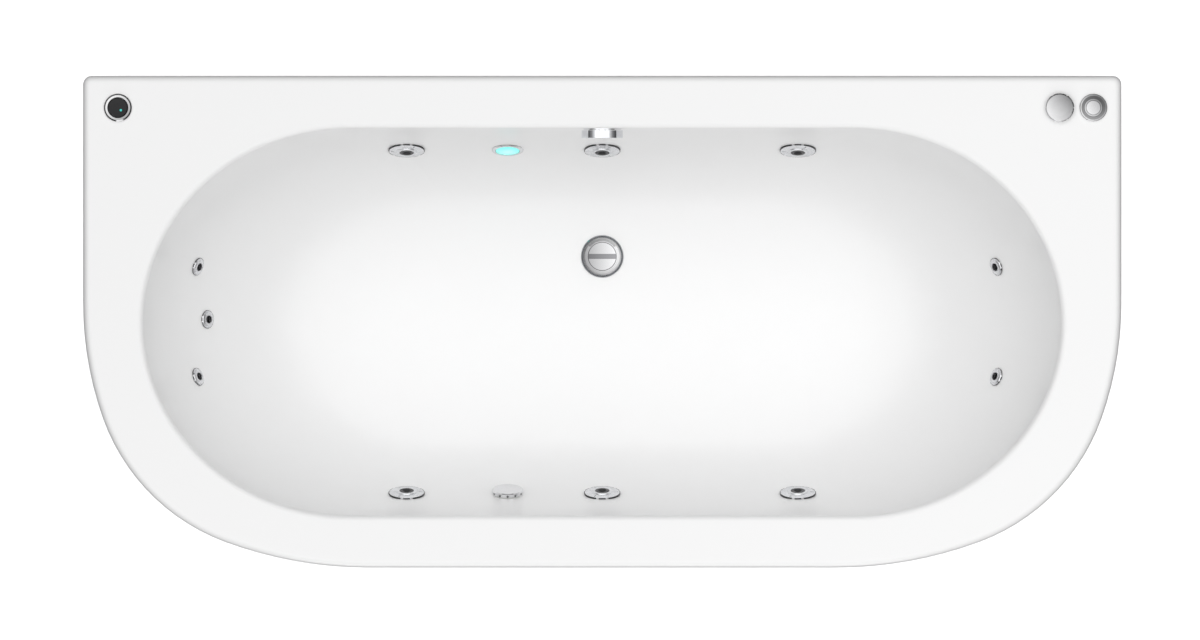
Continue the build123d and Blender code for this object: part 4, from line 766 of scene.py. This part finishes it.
grip_slots.links.new(angle.outputs["Vector"], spread_out.inputs["Rotation"])
# The arcs wear the near-black jet plastic as painted shade inside the slots.
close_recipe(grip_slots, spread_out.outputs["Instances"], made, jet_grey)
print("recipe", grip_slots.name, len(grip_slots.nodes), "nodes")

# %% [markdown]
# Every jet ring turns on a joint, and the joint knows where the ring's centre is and which way the
# jet faces. The slots take both from it, so they sit square on each sloping wall with no angles
# worked out by hand, and they turn with their ring.

# %% Painted slot shade on every jet
SLOT_PROUD = 0.0003
SLOT_POINTS = 28
SLOT_SIZES = {  # radius of the ring, height of the slot's middle, its depth and its thickness
    "side_jet": (0.0295, 0.0018, 0.0026, 0.0013),
    "micro_jet": (0.0147, 0.0014, 0.0018, 0.0009),
}

for joint in frame["joints"]:
    kind = joint["name"].partition("_turn")[0]
    if kind in SLOT_SIZES:
        radius, height, depth, thickness = SLOT_SIZES[kind]
        out = Vector(joint["axis"]).normalized()
        sideways = Vector((0, 0, 1)).cross(out).normalized()
        upwards = out.cross(sideways)
        seat = Matrix((sideways, upwards, out)).transposed().to_4x4()
        seat.translation = Vector(joint["pos_m"]) + out * height
        arcs = cook(
            grip_slots,
            {
                "Radius": radius + SLOT_PROUD - thickness / 2,
                "Thickness": thickness, "Depth": depth, "Points": SLOT_POINTS,
            },
        )
        place_piece("grip_slots_" + joint["child"], arcs, seat, joint["child"])
slot_count = sum(o.name.startswith("grip_slots") for o in bpy.data.objects)
print("slots on", slot_count, "jets,", len(arcs.polygons), "faces on the last")

# %% [markdown]
# ## Threads on the feet
# The levelling feet are screws, so their rods get a thread. A bump could hint at it, but its outline
# would stay smooth. A spiral curve that carries a small triangle up the rod gives real ridges. The
# thread rides on its foot and goes up and down with it.

# %% Thread recipe
threads, given, made = recipe(
    "foot_thread",
    [("Radius", FLOAT, 0.006), ("Length", FLOAT, 0.09), ("Turns", FLOAT, 50.0), ("Tooth", FLOAT, 0.0006)],
)
spiral = threads.nodes.new("GeometryNodeCurveSpiral")
spiral.inputs["Resolution"].default_value = 20
tooth = threads.nodes.new("GeometryNodeCurvePrimitiveCircle")
tooth.inputs["Resolution"].default_value = 3
wind = threads.nodes.new("GeometryNodeCurveToMesh")
wind.inputs["Fill Caps"].default_value = True
threads.links.new(given["Turns"], spiral.inputs["Rotations"])
threads.links.new(given["Radius"], spiral.inputs["Start Radius"])
threads.links.new(given["Radius"], spiral.inputs["End Radius"])
threads.links.new(given["Length"], spiral.inputs["Height"])
threads.links.new(given["Tooth"], tooth.inputs["Radius"])
threads.links.new(spiral.outputs["Curve"], wind.inputs["Curve"])
threads.links.new(tooth.outputs["Curve"], wind.inputs["Profile Curve"])
close_recipe(threads, wind.outputs["Mesh"], made, galvanised)
print("recipe", threads.name, len(threads.nodes), "nodes")

# %% A thread on every foot
THREAD_LOW = 0.045
THREAD_HIGH = 0.148
THREAD_PITCH = 0.00175
THREAD_RADIUS = 0.0058
TOOTH = 0.0004

for name in [n for n in nodes if n.startswith("foot_")]:
    low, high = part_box(name)
    climb = THREAD_HIGH - THREAD_LOW
    helix = cook(
        threads,
        {
            "Radius": THREAD_RADIUS, "Length": climb,
            "Turns": climb / THREAD_PITCH, "Tooth": TOOTH,
        },
    )
    axis = (low + high) / 2
    foot_place = Matrix.Translation((axis.x, axis.y, THREAD_LOW))
    place_piece("thread_" + name, helix, foot_place, name)
thread_count = sum(o.name.startswith("thread_") for o in bpy.data.objects)
print("threads on", thread_count, "feet,", len(helix.polygons), "faces on the last")

# %% [markdown]
# ## The floor
# A plain pale floor, bright enough to read as paper white from above. A little of its own light
# keeps the soft shadow round the bath from turning grey. It is only a backdrop, so it is kept out of
# the mirrors and doesn't throw its light on the bath.

# %% Floor
FLOOR_RADIUS = 14.0

bpy.ops.mesh.primitive_circle_add(
    vertices=96, radius=FLOOR_RADIUS, fill_type="NGON", location=(0, 0, 0)
)
floor = bpy.context.active_object
floor.name = "studio_floor"
pale, shader, place = finish("pale_floor", {"Roughness": 0.9, "Emission Strength": 0.55})
floor_tone = use_group(
    pale, tone_drift, place,
    {"Scale": 0.7, "First": (0.93, 0.93, 0.93, 1), "Second": (0.95, 0.95, 0.95, 1)},
)
join(pale, floor_tone["Color"], shader.inputs["Base Color"])
shader.inputs["Emission Color"].default_value = (1, 1, 1, 1)
shader.inputs["Specular IOR Level"].default_value = 0.1
floor.data.materials.append(pale)
floor.visible_diffuse = False
floor.visible_glossy = False
print("floor radius", FLOOR_RADIUS, "m")
